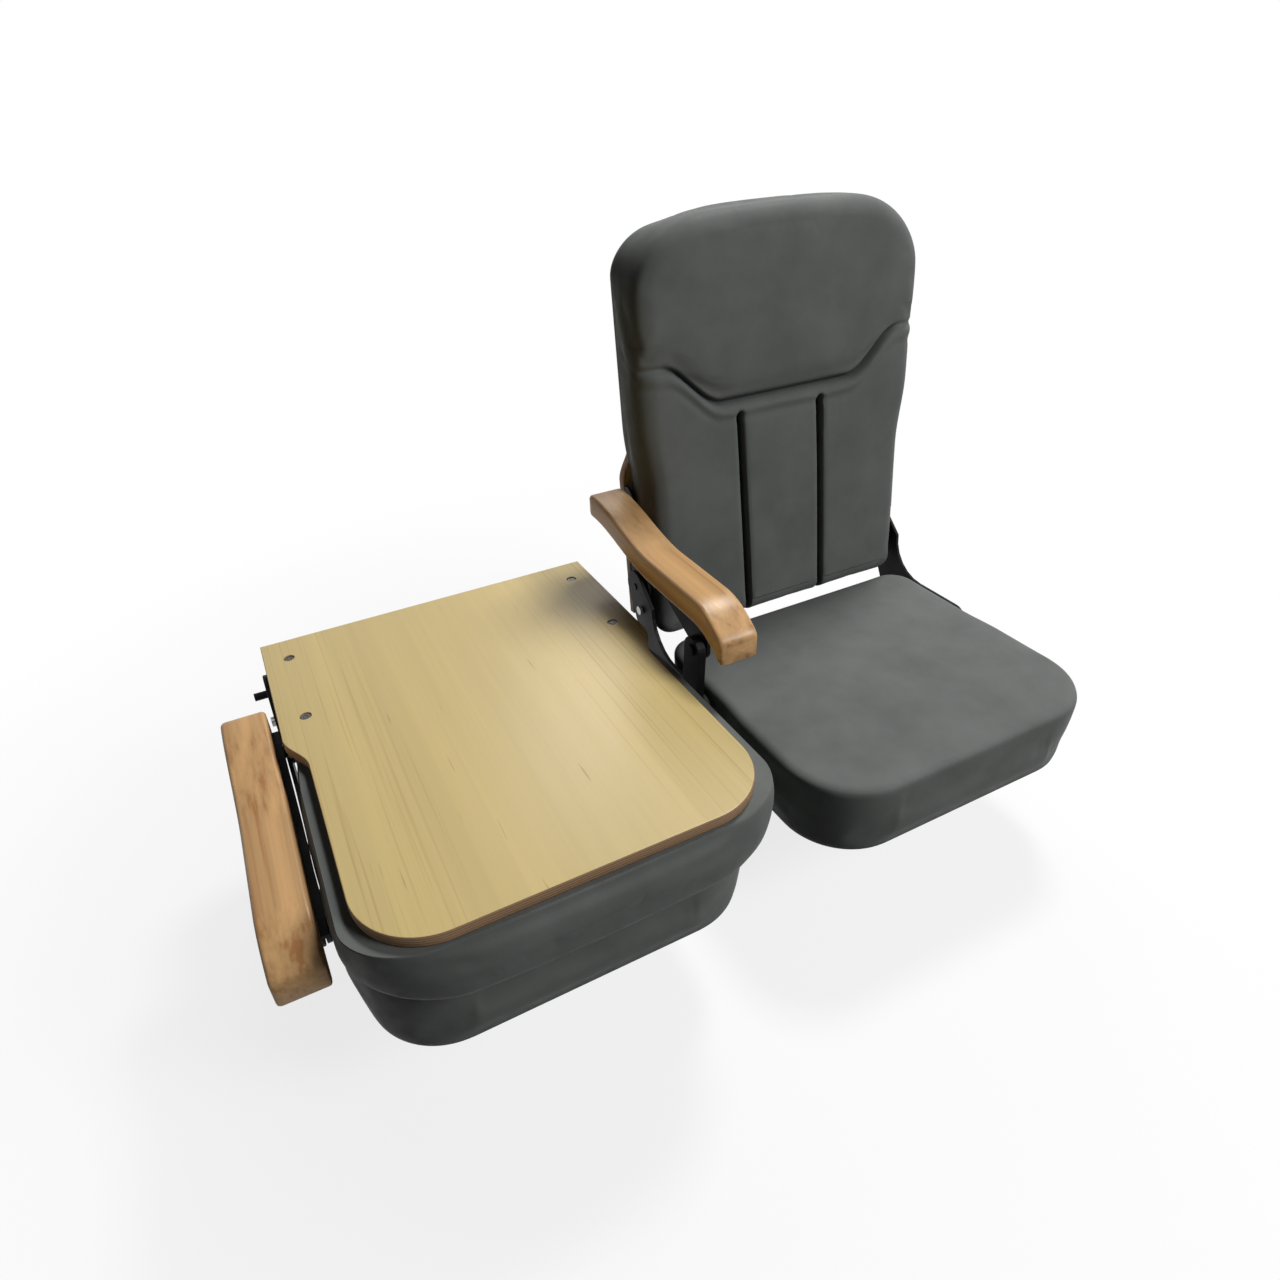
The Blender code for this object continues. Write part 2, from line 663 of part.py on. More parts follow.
def back_board():
    """Plywood back with wide lower shoulders, rebates for the brackets and screw pockets."""
    low = -BOARD_BELOW
    high = BOARD_LENGTH - BOARD_BELOW
    shoulder = []
    for i in range(ARC_STEPS + 1):
        t = i / ARC_STEPS
        shoulder.append((BOARD_WIDE_HALF - SHOULDER_STEP * smoothstep(t),
                         SHOULDER_LOW + (SHOULDER_HIGH - SHOULDER_LOW) * t))
    right = [(BOARD_WIDE_HALF, low)] + shoulder
    right += arc((BOARD_NARROW_HALF - BOARD_RADIUS, high - BOARD_RADIUS), BOARD_RADIUS, 0, 90)
    outline = right + [(-x, z) for x, z in reversed(right)]
    board = extruded([outline], HINGE_OFFSET, HINGE_OFFSET + BOARD_T, "XZ")
    depth = FLANGE_T + CLEAR
    for side in (-1, 1):
        near = side * (BOARD_WIDE_HALF - FLANGE_WIDTH - REBATE_FIT)
        far = side * (BOARD_WIDE_HALF + CUT_SLACK)
        outline = box_outline((min(near, far), -BRACKET_BELOW - REBATE_FIT),
                              (max(near, far), BRACKET_ABOVE + REBATE_FIT))
        rebate = extruded([outline], HINGE_OFFSET - CUT_SLACK, HINGE_OFFSET + depth, "XZ")
        board = combined(board, rebate, "DIFFERENCE")
        for z in (SCREW_LOW, SCREW_HIGH):
            centre = (side * (BOARD_WIDE_HALF - SCREW_INSET), z)
            rear = HINGE_OFFSET + BOARD_T
            bore = ring(centre, SCREW_R + PIN_FIT)
            hole = extruded([bore], HINGE_OFFSET - CUT_SLACK, rear + CUT_SLACK, "XZ")
            well = extruded([ring(centre, POCKET_R)], rear - POCKET_DEPTH, rear + CUT_SLACK, "XZ")
            board = combined(combined(board, hole, "DIFFERENCE"), well, "DIFFERENCE")
    return board


def back_bracket(side):
    """Angle bracket: a flange let into the board and a web with hinge, stop and armrest holes."""
    rear = HINGE_OFFSET + FLANGE_T
    stop_open = STOP_ANGLE + BACK_LEAN
    stop_folded = stop_open - FOLD
    half_turn = math.degrees(math.asin((STOP_PIN_R + CLEAR) / STOP_REACH))
    inner = STOP_REACH - STOP_PIN_R - CLEAR
    outer = STOP_REACH + STOP_FACE
    lug = arm_pivot_on_back()
    heel = turn_point(outer, stop_open + half_turn)
    outline = [(rear, -BRACKET_BELOW), (heel[0], -BRACKET_BELOW), heel]
    outline += arc((0, 0), inner, stop_open + half_turn, stop_folded - half_turn, 2 * ARC_STEPS)
    outline += [turn_point(outer, stop_folded - half_turn)]
    outline += arc(lug, LUG_RADIUS, 180, 90)
    outline += [(HINGE_OFFSET / 2, BRACKET_ABOVE), (rear, BRACKET_ABOVE)]
    holes = [ring((0, 0), HINGE_PIN_R + PIN_FIT), ring(lug, ARM_PIN_R + PIN_FIT)]
    web = extruded([outline] + holes, *sorted((side * WEB_IN, side * WEB_OUT)), "YZ")
    flange_in = BOARD_WIDE_HALF - FLANGE_WIDTH
    overlap = WEB_T / 2
    span = sorted((side * flange_in, side * (WEB_IN + overlap)))
    screw_x = side * (BOARD_WIDE_HALF - SCREW_INSET)
    screws = [ring((screw_x, z), SCREW_R + PIN_FIT) for z in (SCREW_LOW, SCREW_HIGH)]
    strip = box_outline((span[0], -BRACKET_BELOW + CLEAR), (span[1], BRACKET_ABOVE - CLEAR))
    flange = extruded([strip] + screws, HINGE_OFFSET + CLEAR, rear - CLEAR / 2, "XZ")
    return combined(web, flange, "UNION")


def board_screw(side, z):
    """Cap screw in a pocket of the board, through the bracket's flange."""
    seat = HINGE_OFFSET + BOARD_T - POCKET_DEPTH + CLEAR
    steps = [(seat + SCREW_HEAD_T, SCREW_HEAD_R), (seat, SCREW_R), (HINGE_OFFSET + CLEAR, 0)]
    mesh = stepped_pin(steps, 1)
    mesh.transform(Matrix.Rotation(math.pi / 2, 4, "Z"))
    return moved(mesh, (side * (BOARD_WIDE_HALF - SCREW_INSET), 0, z))


def hinge_pin(side, free):
    """Hinge pin in the bracket's web, free past the side plate by a given length."""
    steps = [(PLATE_OUT + free, HINGE_PIN_R), (PLATE_IN - CLEAR, HINGE_COLLAR_R),
             (WEB_OUT + CLEAR, HINGE_PIN_R), (WEB_IN, 0)]
    return stepped_pin(steps, side)


def arm_pin():
    """Rear armrest pivot in the left bracket's web."""
    steps = [(CARRIER_OUT + CLEAR + ARM_PIN_HEAD_T, ARM_PIN_HEAD_R), (CARRIER_OUT + CLEAR, ARM_PIN_R),
             (CARRIER_IN - CLEAR, ARM_COLLAR_R), (WEB_OUT + CLEAR, ARM_PIN_R), (WEB_IN, 0)]
    return moved(stepped_pin(steps, -1), (0, *arm_pivot_on_back()))


# Armrest, in a level frame on its rear pivot

def arm_under(t):
    """Height of the wood's underside at a distance from its rear end."""
    fall = ARM_FALL * smoothstep((t - ARM_FALL_START) / (ARM_FALL_END - ARM_FALL_START))
    droop = ARM_DROOP * max((t - ARM_LENGTH + ARM_DROOP_RUN) / ARM_DROOP_RUN, 0.0) ** 2
    return ARM_LIFT - fall - droop


def arm_line(start, end, lift):
    """Points along the armrest's curve, from the rear forwards; the level run has none."""
    fall_run = ARM_FALL_END - ARM_FALL_START
    bends = [ARM_FALL_START + fall_run * i / ARM_STEPS for i in range(ARM_STEPS + 1)]
    bends += [ARM_LENGTH - ARM_DROOP_RUN * (1 - i / ARM_STEPS) for i in range(ARM_STEPS + 1)]
    steps = [start] + [t for t in bends if start < t < end] + [end]
    return [(ARM_REAR - t, arm_under(t) + lift) for t in steps]


def arm_screw_place(t):
    """Armrest screw's place, under the middle of the wood."""
    return -PITCH / 2, ARM_REAR - t


def armrest():
    """Solid wood arm pad with rounded edges and pilot holes."""
    rear = ARM_REAR - ARM_REAR_ROUND
    outline = arm_line(ARM_REAR_ROUND, ARM_LENGTH, ARM_T)
    outline += list(reversed(arm_line(ARM_REAR_ROUND, ARM_LENGTH, 0)))
    outline += arc((rear, ARM_LIFT + ARM_REAR_ROUND), ARM_REAR_ROUND, -90, 0)[1:]
    outline += arc((rear, ARM_LIFT + ARM_T - ARM_REAR_ROUND), ARM_REAR_ROUND, 0, 90)[:-1]
    left = -PITCH / 2 - ARM_WIDTH / 2
    wood = bevelled(extruded([outline], left, left + ARM_WIDTH, "YZ"), ARM_EDGE, 2)
    for t in ARM_SCREW_AT:
        top = arm_under(t) + ARM_SCREW_BITE + CLEAR
        bore = ring(arm_screw_place(t), ARM_SCREW_R + PIN_FIT)
        hole = extruded([bore], top - 2 * ARM_SCREW_BITE, top, "XY")
        wood = combined(wood, hole, "DIFFERENCE")
    return wood


def arm_carrier():
    """Steel strip under the wood with a web that holds both armrest pivots."""
    top = arm_line(STRIP_START, STRIP_END, -CLEAR)
    low = arm_line(STRIP_START, STRIP_END, -CLEAR - STRIP_T)
    far = -PITCH / 2 - STRIP_PAST_MIDDLE
    strip = extruded([top + list(reversed(low))], far, STRIP_LIP - CARRIER_IN, "YZ")
    slope = math.degrees(math.atan2(PIVOT_STEP[1], PIVOT_STEP[0])) + 90
    below = arc((0, 0), LUG_RADIUS, 0, slope)
    below += arc(PIVOT_STEP, LUG_RADIUS, slope, -180)
    front = PIVOT_STEP[0] - LUG_RADIUS
    upper = [p for p in arm_line(STRIP_START, STRIP_END, -CLEAR - STRIP_T / 2) if front < p[0] < LUG_RADIUS]
    ends = [(y, arm_under(ARM_REAR - y) - CLEAR - STRIP_T / 2) for y in (LUG_RADIUS, front)]
    outline = below + [ends[1]] + list(reversed(upper)) + [ends[0]]
    holes = [ring((0, 0), ARM_PIN_R + PIN_FIT), ring(PIVOT_STEP, ARM_PIN_R + PIN_FIT)]
    carrier = combined(extruded([outline] + holes, -CARRIER_OUT, -CARRIER_IN, "YZ"), strip, "UNION")
    for t in ARM_SCREW_AT:
        middle = arm_under(t)
        reach = STRIP_T + CUT_SLACK
        bore = ring(arm_screw_place(t), ARM_SCREW_R + PIN_FIT)
        hole = extruded([bore], middle - 2 * reach, middle + reach, "XY")
        carrier = combined(carrier, hole, "DIFFERENCE")
    return carrier


def arm_screw(t):
    """Pan-head screw from below, through the strip into the wood."""
    slope = abs(arm_under(t + ARM_SCREW_HEAD_R) - arm_under(t - ARM_SCREW_HEAD_R)) / 2
    seat = arm_under(t) - 2 * CLEAR - STRIP_T - slope
    tip = arm_under(t) + ARM_SCREW_BITE
    steps = [(tip, ARM_SCREW_R), (seat, ARM_SCREW_HEAD_R), (seat - ARM_SCREW_HEAD_T, 0)]
    mesh = stepped_pin(steps, 1)
    mesh.transform(Matrix.Rotation(-math.pi / 2, 4, "Y"))
    x, y = arm_screw_place(t)
    return moved(mesh, (x, y, 0))


# Front link, in a frame on its lower pivot with Z along the link

def front_link():
    """Flat bar that holds up the front of the armrest."""
    outline = arc((0, 0), LINK_WIDTH / 2, 180, 360, 2 * ARC_STEPS)
    outline += arc((0, LINK_LENGTH), LINK_WIDTH / 2, 0, 180, 2 * ARC_STEPS)
    holes = [ring((0, z), ARM_PIN_R + PIN_FIT) for z in (0, LINK_LENGTH)]
    return extruded([outline] + holes, -LINK_OUT, -LINK_IN, "YZ")


def link_pin():
    """Upper pivot of the front link, through the carrier's web."""
    steps = [(LINK_OUT + CLEAR + ARM_PIN_HEAD_T, ARM_PIN_HEAD_R), (LINK_OUT + CLEAR, ARM_PIN_R),
             (LINK_IN - CLEAR, ARM_COLLAR_R), (CARRIER_OUT + CLEAR, ARM_PIN_R),
             (CARRIER_IN - CLEAR, ARM_PIN_HEAD_R), (CARRIER_IN - CLEAR - ARM_PIN_HEAD_T, 0)]
    return moved(stepped_pin(steps, -1), (0, 0, LINK_LENGTH))


# Assembly

def build_base():
    """Beam, its end caps and the two deck feet."""
    place("main_beam", beam(), STEEL)
    for label, side in (("left", -1), ("right", 1)):
        place(f"beam_cap_{label}", beam_cap(side), PLASTIC)
        place(f"deck_foot_{label}", moved(foot(), (side * PITCH / 2, 0, 0)), STEEL)


def build_place(label, centre, fold):
    """One place of the row at its fold angle."""
    outwards = {-1: "outer" if centre < 0 else "inner", 1: "inner" if centre < 0 else "outer"}
    seat = pivot(f"{label}_seat_frame", (centre, 0, 0))
    back = pivot(f"{label}_back_axis", (centre, HINGE_Y, HINGE_Z), fold - BACK_LEAN)
    swing = turn_point(LINK_LENGTH, 90 + LINK_LEAN + fold)
    arm = pivot(f"{label}_arm_axis", (centre, HINGE_Y + swing[0], HINGE_Z + swing[1]))
    link = pivot(f"{label}_link_axis", (centre, LINK_Y, LINK_Z), LINK_LEAN + fold)

    place(f"{label}_seat_board", seat_board(), PLYWOOD, seat)
    place(f"{label}_seat_cushion", seat_cushion(), LEATHERETTE, seat)
    place(f"{label}_seat_rail_front", seat_rail(FRONT_RAIL_Y), STEEL, seat)
    place(f"{label}_seat_rail_rear", seat_rail(REAR_RAIL_Y), STEEL, seat)
    place(f"{label}_link_bolt", link_bolt(), ZINC, seat)
    place(f"{label}_back_board", back_board(), PLYWOOD, back)
    place(f"{label}_back_cushion", back_cushion(), LEATHERETTE, back)
    place(f"{label}_arm_pin", arm_pin(), STEEL, back)
    for side, name in outwards.items():
        place(f"{label}_side_plate_{name}", side_plate(side), STEEL, seat)
        place(f"{label}_stop_bolt_{name}", stop_bolt(side), ZINC, seat)
        place(f"{label}_back_bracket_{name}", back_bracket(side), STEEL, back)
        free = HINGE_PIN_LONG if side * centre > 0 and side < 0 else HINGE_PIN_SHORT
        place(f"{label}_hinge_pin_{name}", hinge_pin(side, free), STEEL, back)
        place(f"{label}_board_screw_low_{name}", board_screw(side, SCREW_LOW), ZINC, back)
        place(f"{label}_board_screw_high_{name}", board_screw(side, SCREW_HIGH), ZINC, back)
    place(f"{label}_armrest", armrest(), BEECH, arm)
    place(f"{label}_arm_carrier", arm_carrier(), STEEL, arm)
    for name, t in zip(("rear", "front"), ARM_SCREW_AT):
        place(f"{label}_arm_screw_{name}", arm_screw(t), ZINC, arm)
    place(f"{label}_front_link", front_link(), STEEL, link)
    place(f"{label}_link_pin", link_pin(), STEEL, link)


build_base()
for place_label, place_centre, place_fold in PLACES:
    build_place(place_label, place_centre, place_fold)
for left_over in [m for m in bpy.data.meshes if m.users == 0]:
    bpy.data.meshes.remove(left_over)
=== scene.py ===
"""Looks of the folding bleacher seat: cushions, boards, armrests, fasteners, steel and stage."""

import json
import math

import bmesh
import bpy
from bpy.props import FloatProperty, FloatVectorProperty, PointerProperty
from bpy.types import Operator, Panel, PropertyGroup
from mathutils import Matrix, Vector


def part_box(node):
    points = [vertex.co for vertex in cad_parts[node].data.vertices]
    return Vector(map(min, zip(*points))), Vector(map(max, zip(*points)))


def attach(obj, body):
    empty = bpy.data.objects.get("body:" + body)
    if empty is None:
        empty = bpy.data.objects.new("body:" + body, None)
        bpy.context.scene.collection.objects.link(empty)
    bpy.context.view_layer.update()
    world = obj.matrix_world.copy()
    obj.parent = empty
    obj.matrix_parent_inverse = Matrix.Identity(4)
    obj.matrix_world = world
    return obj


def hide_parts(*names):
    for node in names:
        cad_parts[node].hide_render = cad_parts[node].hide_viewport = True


bl_info = {
    "name": "Folding Bleacher Seat",
    "version": (1, 0, 0),
    "blender": (4, 5, 0),
    "location": "3D View > Sidebar > Bleacher Seat",
    "description": "Dresses the frame of a two-place folding bleacher seat",
    "category": "Object",
}

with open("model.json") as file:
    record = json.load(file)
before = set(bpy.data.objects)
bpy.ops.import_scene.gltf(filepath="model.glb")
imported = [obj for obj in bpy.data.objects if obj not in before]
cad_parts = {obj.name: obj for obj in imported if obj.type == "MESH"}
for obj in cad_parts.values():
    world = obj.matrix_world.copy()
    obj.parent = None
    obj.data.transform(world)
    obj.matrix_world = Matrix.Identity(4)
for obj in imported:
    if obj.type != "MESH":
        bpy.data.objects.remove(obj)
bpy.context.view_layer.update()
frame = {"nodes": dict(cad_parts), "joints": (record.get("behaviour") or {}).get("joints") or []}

# Places and pivots from the frame
PLACES = ("left", "right")
SIDES = ("outer", "inner")
JOINTS = {joint["name"]: joint for joint in frame["joints"]}
LEVEL = math.radians(90)
FOLD = math.radians(JOINTS["right_back_fold"]["range_deg"][1])
BACK_TILT = {"left": LEVEL, "right": LEVEL - FOLD}
HINGE = {place: Vector(JOINTS[f"{place}_back_fold"]["pos_m"]) for place in PLACES}
ARM_PIVOT = {place: Vector(JOINTS[f"{place}_arm_level"]["pos_m"]) for place in PLACES}

# Measures of the folded place, whose back lies level
BOARD_LOW, BOARD_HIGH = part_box("left_back_board")
PAD_LOW, PAD_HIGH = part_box("left_back_cushion")
SEAT_LOW, SEAT_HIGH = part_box("left_seat_cushion")
BOARD_FRONT = BOARD_LOW.z - HINGE["left"].z
BOARD_THICK = BOARD_HIGH.z - BOARD_LOW.z
BOARD_HALF = (BOARD_HIGH.x - BOARD_LOW.x) / 2
BOARD_FOOT = HINGE["left"].y - BOARD_HIGH.y
BOARD_HEAD = HINGE["left"].y - BOARD_LOW.y
CONTACT = 0.0004

# Rounding of the steel's own edges
STEEL_EDGE = 0.0006
SHARP_ANGLE = math.radians(40)
JOIN_DISTANCE = 0.00001

# Softboxes of the studio: place, aim, size and power
SOFTBOXES = {
    "top_softbox": ((1.30, 0.72, 3.10), (0.0, 0.0, 0.3), 0.6, 65.0),
    "front_softbox": ((1.75, -2.25, 2.35), (0.0, 0.0, 0.3), 1.0, 68.0),
    "rear_softbox": ((0.62, 1.70, 2.10), (-0.2, -0.2, 0.4), 0.7, 9.0),
}

# Room light, then the floor: half its size, its tone to the object and to the camera, its roughness,
# and the least and full share of its glow with the distances between which that grows
ROOM_LIGHT = 0.018
FLOOR_HALF = 20
FLOOR_TONE = 0.10
FLOOR_SEEN = 0.95
FLOOR_ROUGH = 0.9
FLOOR_GLOW = (0.80, 1.0)
GLOW_RUN = (0.55, 1.4)

# Camera that was fitted to the photograph, in metres, degrees and pixels
CAMERA_PLACE = (-0.4449, -0.7774, 0.9240)
CAMERA_AZIMUTH = -24.475
CAMERA_ELEVATION = 32.307
CAMERA_ROLL = -3.264
PHOTO_WIDTH = 1280.0
PHOTO_CENTRE = (608.5, 620.7)
FOCAL_PIXELS = 821.7
SENSOR_WIDTH = 36.0
NEAREST = 0.05


# Sizes and colours that the panel shows

def metres(name, text, value):
    """A size of the panel, in metres."""
    return FloatProperty(name=name, description=text, default=value, unit="LENGTH")


def screen_colour(name, text, value):
    """A colour of the panel, as seen on screen."""
    return FloatVectorProperty(name=name, description=text, default=value, min=0, max=1,
                               subtype="COLOR_GAMMA")


class SeatSizes(PropertyGroup):
    """Sizes of the seat cushions."""
    half_width: metres("Half width", "Half of the seat cushion's width", (SEAT_HIGH.x - SEAT_LOW.x) / 2)
    thick: metres("Thickness", "Height of the cushion at its rim", 0.101)
    crown: metres("Crown", "Rise of the middle over the rim", 0.0025)
    front_radius: metres("Front corner", "Radius of the front corners in plan", 0.095)
    rear_radius: metres("Rear corner", "Radius of the rear corners in plan", 0.040)
    roll: metres("Rim roll", "Radius of the rounded upper rim", 0.014)
    tuck: metres("Tuck", "How far the sides pull in at the base", 0.009)
    bulge: metres("Bulge", "How far the sides swell past the outline", 0.0025)
    flare: metres("Front flare", "Extra half width in front of the side plates", 0.004)
    flare_start: metres("Flare start", "Where the front flare begins, along Y", -0.050)
    flare_run: metres("Flare run", "Length over which the front flare grows", 0.060)
    swell: metres("Swell limit", "Most that a point of the sides moves in the simulation", 0.005)
    face_swell: metres("Face swell", "Most that a point of the face moves in the simulation", 0.005 / 6)


class BackSizes(PropertyGroup):
    """Sizes of the back cushions and boards."""
    half_width: metres("Half width", "Half of the pad's width between the brackets", 0.2188)
    thick: metres("Thickness", "Height of the pad over its board", 0.078)
    crown: metres("Crown", "Rise of the middle over the rim", 0.002)
    head_radius: metres("Head corner", "Radius of the head's corners in plan", 0.115)
    foot_radius: metres("Foot corner", "Radius of the lower corners in plan", 0.019)
    roll: metres("Rim roll", "Radius of the soft rim", 0.022)
    tuck: metres("Tuck", "How far the sides pull in at the board", 0.004)
    head_tuck: metres("Head tuck", "Extra pull at the head's edge, under the board", 0.004)
    corner_drop: metres("Corner drop", "How much tighter the head's corners are below", 0.033)
    bulge: metres("Bulge", "How far the sides swell past the outline", 0.004)
    flare: metres("Flare", "Extra half width above the brackets", 0.002)
    flare_start: metres("Flare start", "Where the flare begins, from the hinge", 0.128)
    flare_run: metres("Flare run", "Length over which the flare grows", 0.070)
    arm_side: metres("Arm side", "Extra width on the armrest's side", 0.0026)
    free_side: metres("Free side", "Extra width on the side without an armrest", 0.004)
    bow: metres("Head bow", "How far the head's edge arches in its middle", 0.003)
    seam_height: metres("Seam height", "Cross seam's distance from the hinge", 0.256)
    seam_rise: metres("Seam rise", "How far the seam climbs towards the sides", 0.058)
    seam_flat: metres("Seam middle", "Half of the seam's level middle", 0.105)
    seam_run: metres("Seam run", "Width over which the seam climbs", 0.090)
    seam_depth: metres("Seam depth", "Depth of the cross seam", 0.011)
    seam_half: metres("Seam half width", "Half of the seam valley's width", 0.0038)
    head_rise: metres("Head rise", "How much fuller the head is", 0.003)
    channel_gap: metres("Channel place", "Channels' distance from the middle", 0.067)
    channel_depth: metres("Channel depth", "Depth of the two long channels", 0.014)
    channel_half: metres("Channel half width", "Half of a channel's width", 0.0037)
    channel_lean: metres("Channel lean", "Sideways lean of the channels at the seam", 0.013)
    swell: metres("Swell limit", "Most that a point of the sides moves in the simulation", 0.005)
    face_swell: metres("Face swell", "Most that a point of the face moves in the simulation", 0.005 / 4)
    shoulder: metres("Shoulder step", "How much narrower the board's upper part is", 0.020)
    shoulder_low: metres("Shoulder start", "Where the board starts to narrow", 0.154)
    shoulder_high: metres("Shoulder end", "Where the board has its upper width", 0.209)
    board_radius: metres("Board corner", "Radius of the board's upper corners", 0.075)
    board_edge: metres("Board edge", "Rounding of the board's edges", 0.0012)
    pocket_radius: metres("Pocket radius", "Radius of the screw pockets", 0.0063)


class ArmSizes(PropertyGroup):
    """Sizes of the armrests, along their length from the rear end."""
    width: metres("Width", "Width of the wood", 0.050)
    thick: metres("Thickness", "Thickness of the wood", 0.030)
    length: metres("Length", "Length of the wood", 0.340)
    rear: metres("Rear reach", "Wood behind its pivot", 0.033)
    lift: metres("Lift", "Underside's height over the pivot at the rear", 0.0155)
    fall: metres("Fall", "Drop of the curve towards the front", 0.026)
    fall_start: metres("Fall start", "Where the fall begins", 0.014)
    fall_end: metres("Fall end", "Where the fall ends", 0.172)
    droop: metres("Droop", "Drop of the nose", 0.029)
    droop_run: metres("Droop run", "Length of the drooping nose", 0.065)
    edge: metres("Edge", "Rounding of the long edges", 0.0048)
    rear_round: metres("Rear round", "Rounding of the rear end", 0.009)
    nose_round: metres("Nose round", "Rounding of the front end", 0.006)
    skirt: metres("Skirt", "How far the outer half reaches below the strip's seat", 0.002)
    strip_edge: metres("Strip edge", "Inner face of the skirt from the middle", -0.0065)
    strip_end: metres("Strip end", "Where the seat of the carrier strip ends", 0.304)


class FastenerSizes(PropertyGroup):
    """Sizes of the board screws and weld beads."""
    head_height: metres("Head height", "Height of a screw's head", 0.0032)
    socket_radius: metres("Socket radius", "Corner radius of the hexagon socket", 0.0032)
    socket_depth: metres("Socket depth", "Twice the depth of the socket", 0.0044)
    shank_radius: metres("Shank radius", "Radius of a screw's shank", 0.0025)
    bead_radius: metres("Bead radius", "Radius of a weld bead", 0.0021)
    bead_step: metres("Bead step", "Distance between weld beads", 0.0024)


class SeatColours(PropertyGroup):
    """Colours of the finishes, as seen on screen."""
    leather: screen_colour("Leatherette", "Grey cover of the cushions", (0.425, 0.437, 0.428))
    plywood: screen_colour("Plywood", "Pale face of the back boards", (0.80, 0.71, 0.478))
    ply_edge: screen_colour("Plywood edge", "Stained edge of the back boards", (0.58, 0.455, 0.33))
    beech: screen_colour("Armrest wood", "Lacquered wood of the armrests", (0.80, 0.63, 0.43))
    steel: screen_colour("Black steel", "Powder coat on the steelwork", (0.036, 0.036, 0.039))
    zinc: screen_colour("Zinc", "Plated bolts and screws", (0.74, 0.74, 0.73))
    screw: screen_colour("Board screws", "Dull plating of the board screws", (0.40, 0.40, 0.385))
    plastic: screen_colour("Plastic", "End caps of the beam", (0.09, 0.09, 0.09))
    # Seat boards' colour, darkened as painted shade under the cushions
    board_and_shade: screen_colour("Seat board and shade", "Seat boards under the cushions", (0.13, 0.11, 0.095))


# Small tools

def smoothstep(t):
    """Smooth rise from 0 to 1."""
    t = min(max(t, 0.0), 1.0)
    return t * t * (3 - 2 * t)


def hump(value, half):
    """Round bump, 1 at zero and gone past about twice half."""
    return math.exp(-(value / half) ** 2)


def linear(colour, gain=1.0):
    """A screen colour as the linear colour that a shader takes."""
    values = []
    for channel in colour:
        level = min(max(channel * gain, 0.0), 1.0)
        values.append(level / 12.92 if level <= 0.04045 else ((level + 0.055) / 1.055) ** 2.4)
    return (*values, 1.0)


def steps_between(low, high, count):
    """Evenly spaced values from low up to, but without, high."""
    return [low + (high - low) * i / count for i in range(count)]


def mirrored(values):
    """Positive values with their mirror images."""
    return [-v for v in reversed(values) if v > 0] + list(values)


def mesh_of(bm, name):
    """A mesh from a form, which is freed."""
    mesh = bpy.data.meshes.new(name)
    bm.to_mesh(mesh)
    bm.free()
    return mesh


def new_piece(name, mesh):
    """Links a mesh to the scene as an object at the origin."""
    piece = bpy.data.objects.new(name, mesh)
    bpy.context.scene.collection.objects.link(piece)
    return piece


def plain_mesh(piece):
    """Turns a piece's modifiers into its mesh."""
    bpy.context.view_layer.update()
    graph = bpy.context.evaluated_depsgraph_get()
    mesh = bpy.data.meshes.new_from_object(piece.evaluated_get(graph))
    piece.modifiers.clear()
    piece.data = mesh
    return mesh


def soften(mesh, angle):
    """Smooth shading that keeps edges sharper than an angle in degrees."""
    for face in mesh.polygons:
        face.use_smooth = True
    mesh.set_sharp_from_angle(angle=math.radians(angle))


def back_matrix(place):
    """From the back's own frame, on the hinge with Z along the board, to its place."""
    return Matrix.Translation(HINGE[place]) @ Matrix.Rotation(BACK_TILT[place], 4, "X")


def finished(piece, material, body, nodes):
    """Gives a piece its material and body, and hides the nodes it stands for."""
    piece.data.materials.clear()
    piece.data.materials.append(material)
    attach(piece, body)
    if nodes:
        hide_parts(*nodes)


# Finishes

class NodeTree:
    """A tree of nodes under construction."""

    def __init__(self, tree):
        self.tree = tree

    def node(self, kind, values=None, **settings):
        """Adds a node with its settings and input values."""
        made = self.tree.nodes.new(kind)
        for key, value in settings.items():
            setattr(made, key, value)
        for key, value in (values or {}).items():
            made.inputs[key].default_value = value
        return made

    def link(self, source, target):
        """Joins two sockets."""
        self.tree.links.new(source, target)

    def calc(self, operation, *operands):
        """Value of a math node; the operands are sockets or numbers."""
        made = self.node("ShaderNodeMath", operation=operation)
        for socket, operand in zip(made.inputs, operands):
            if isinstance(operand, bpy.types.NodeSocket):
                self.link(operand, socket)
            else:
                socket.default_value = operand
        return made.outputs["Value"]


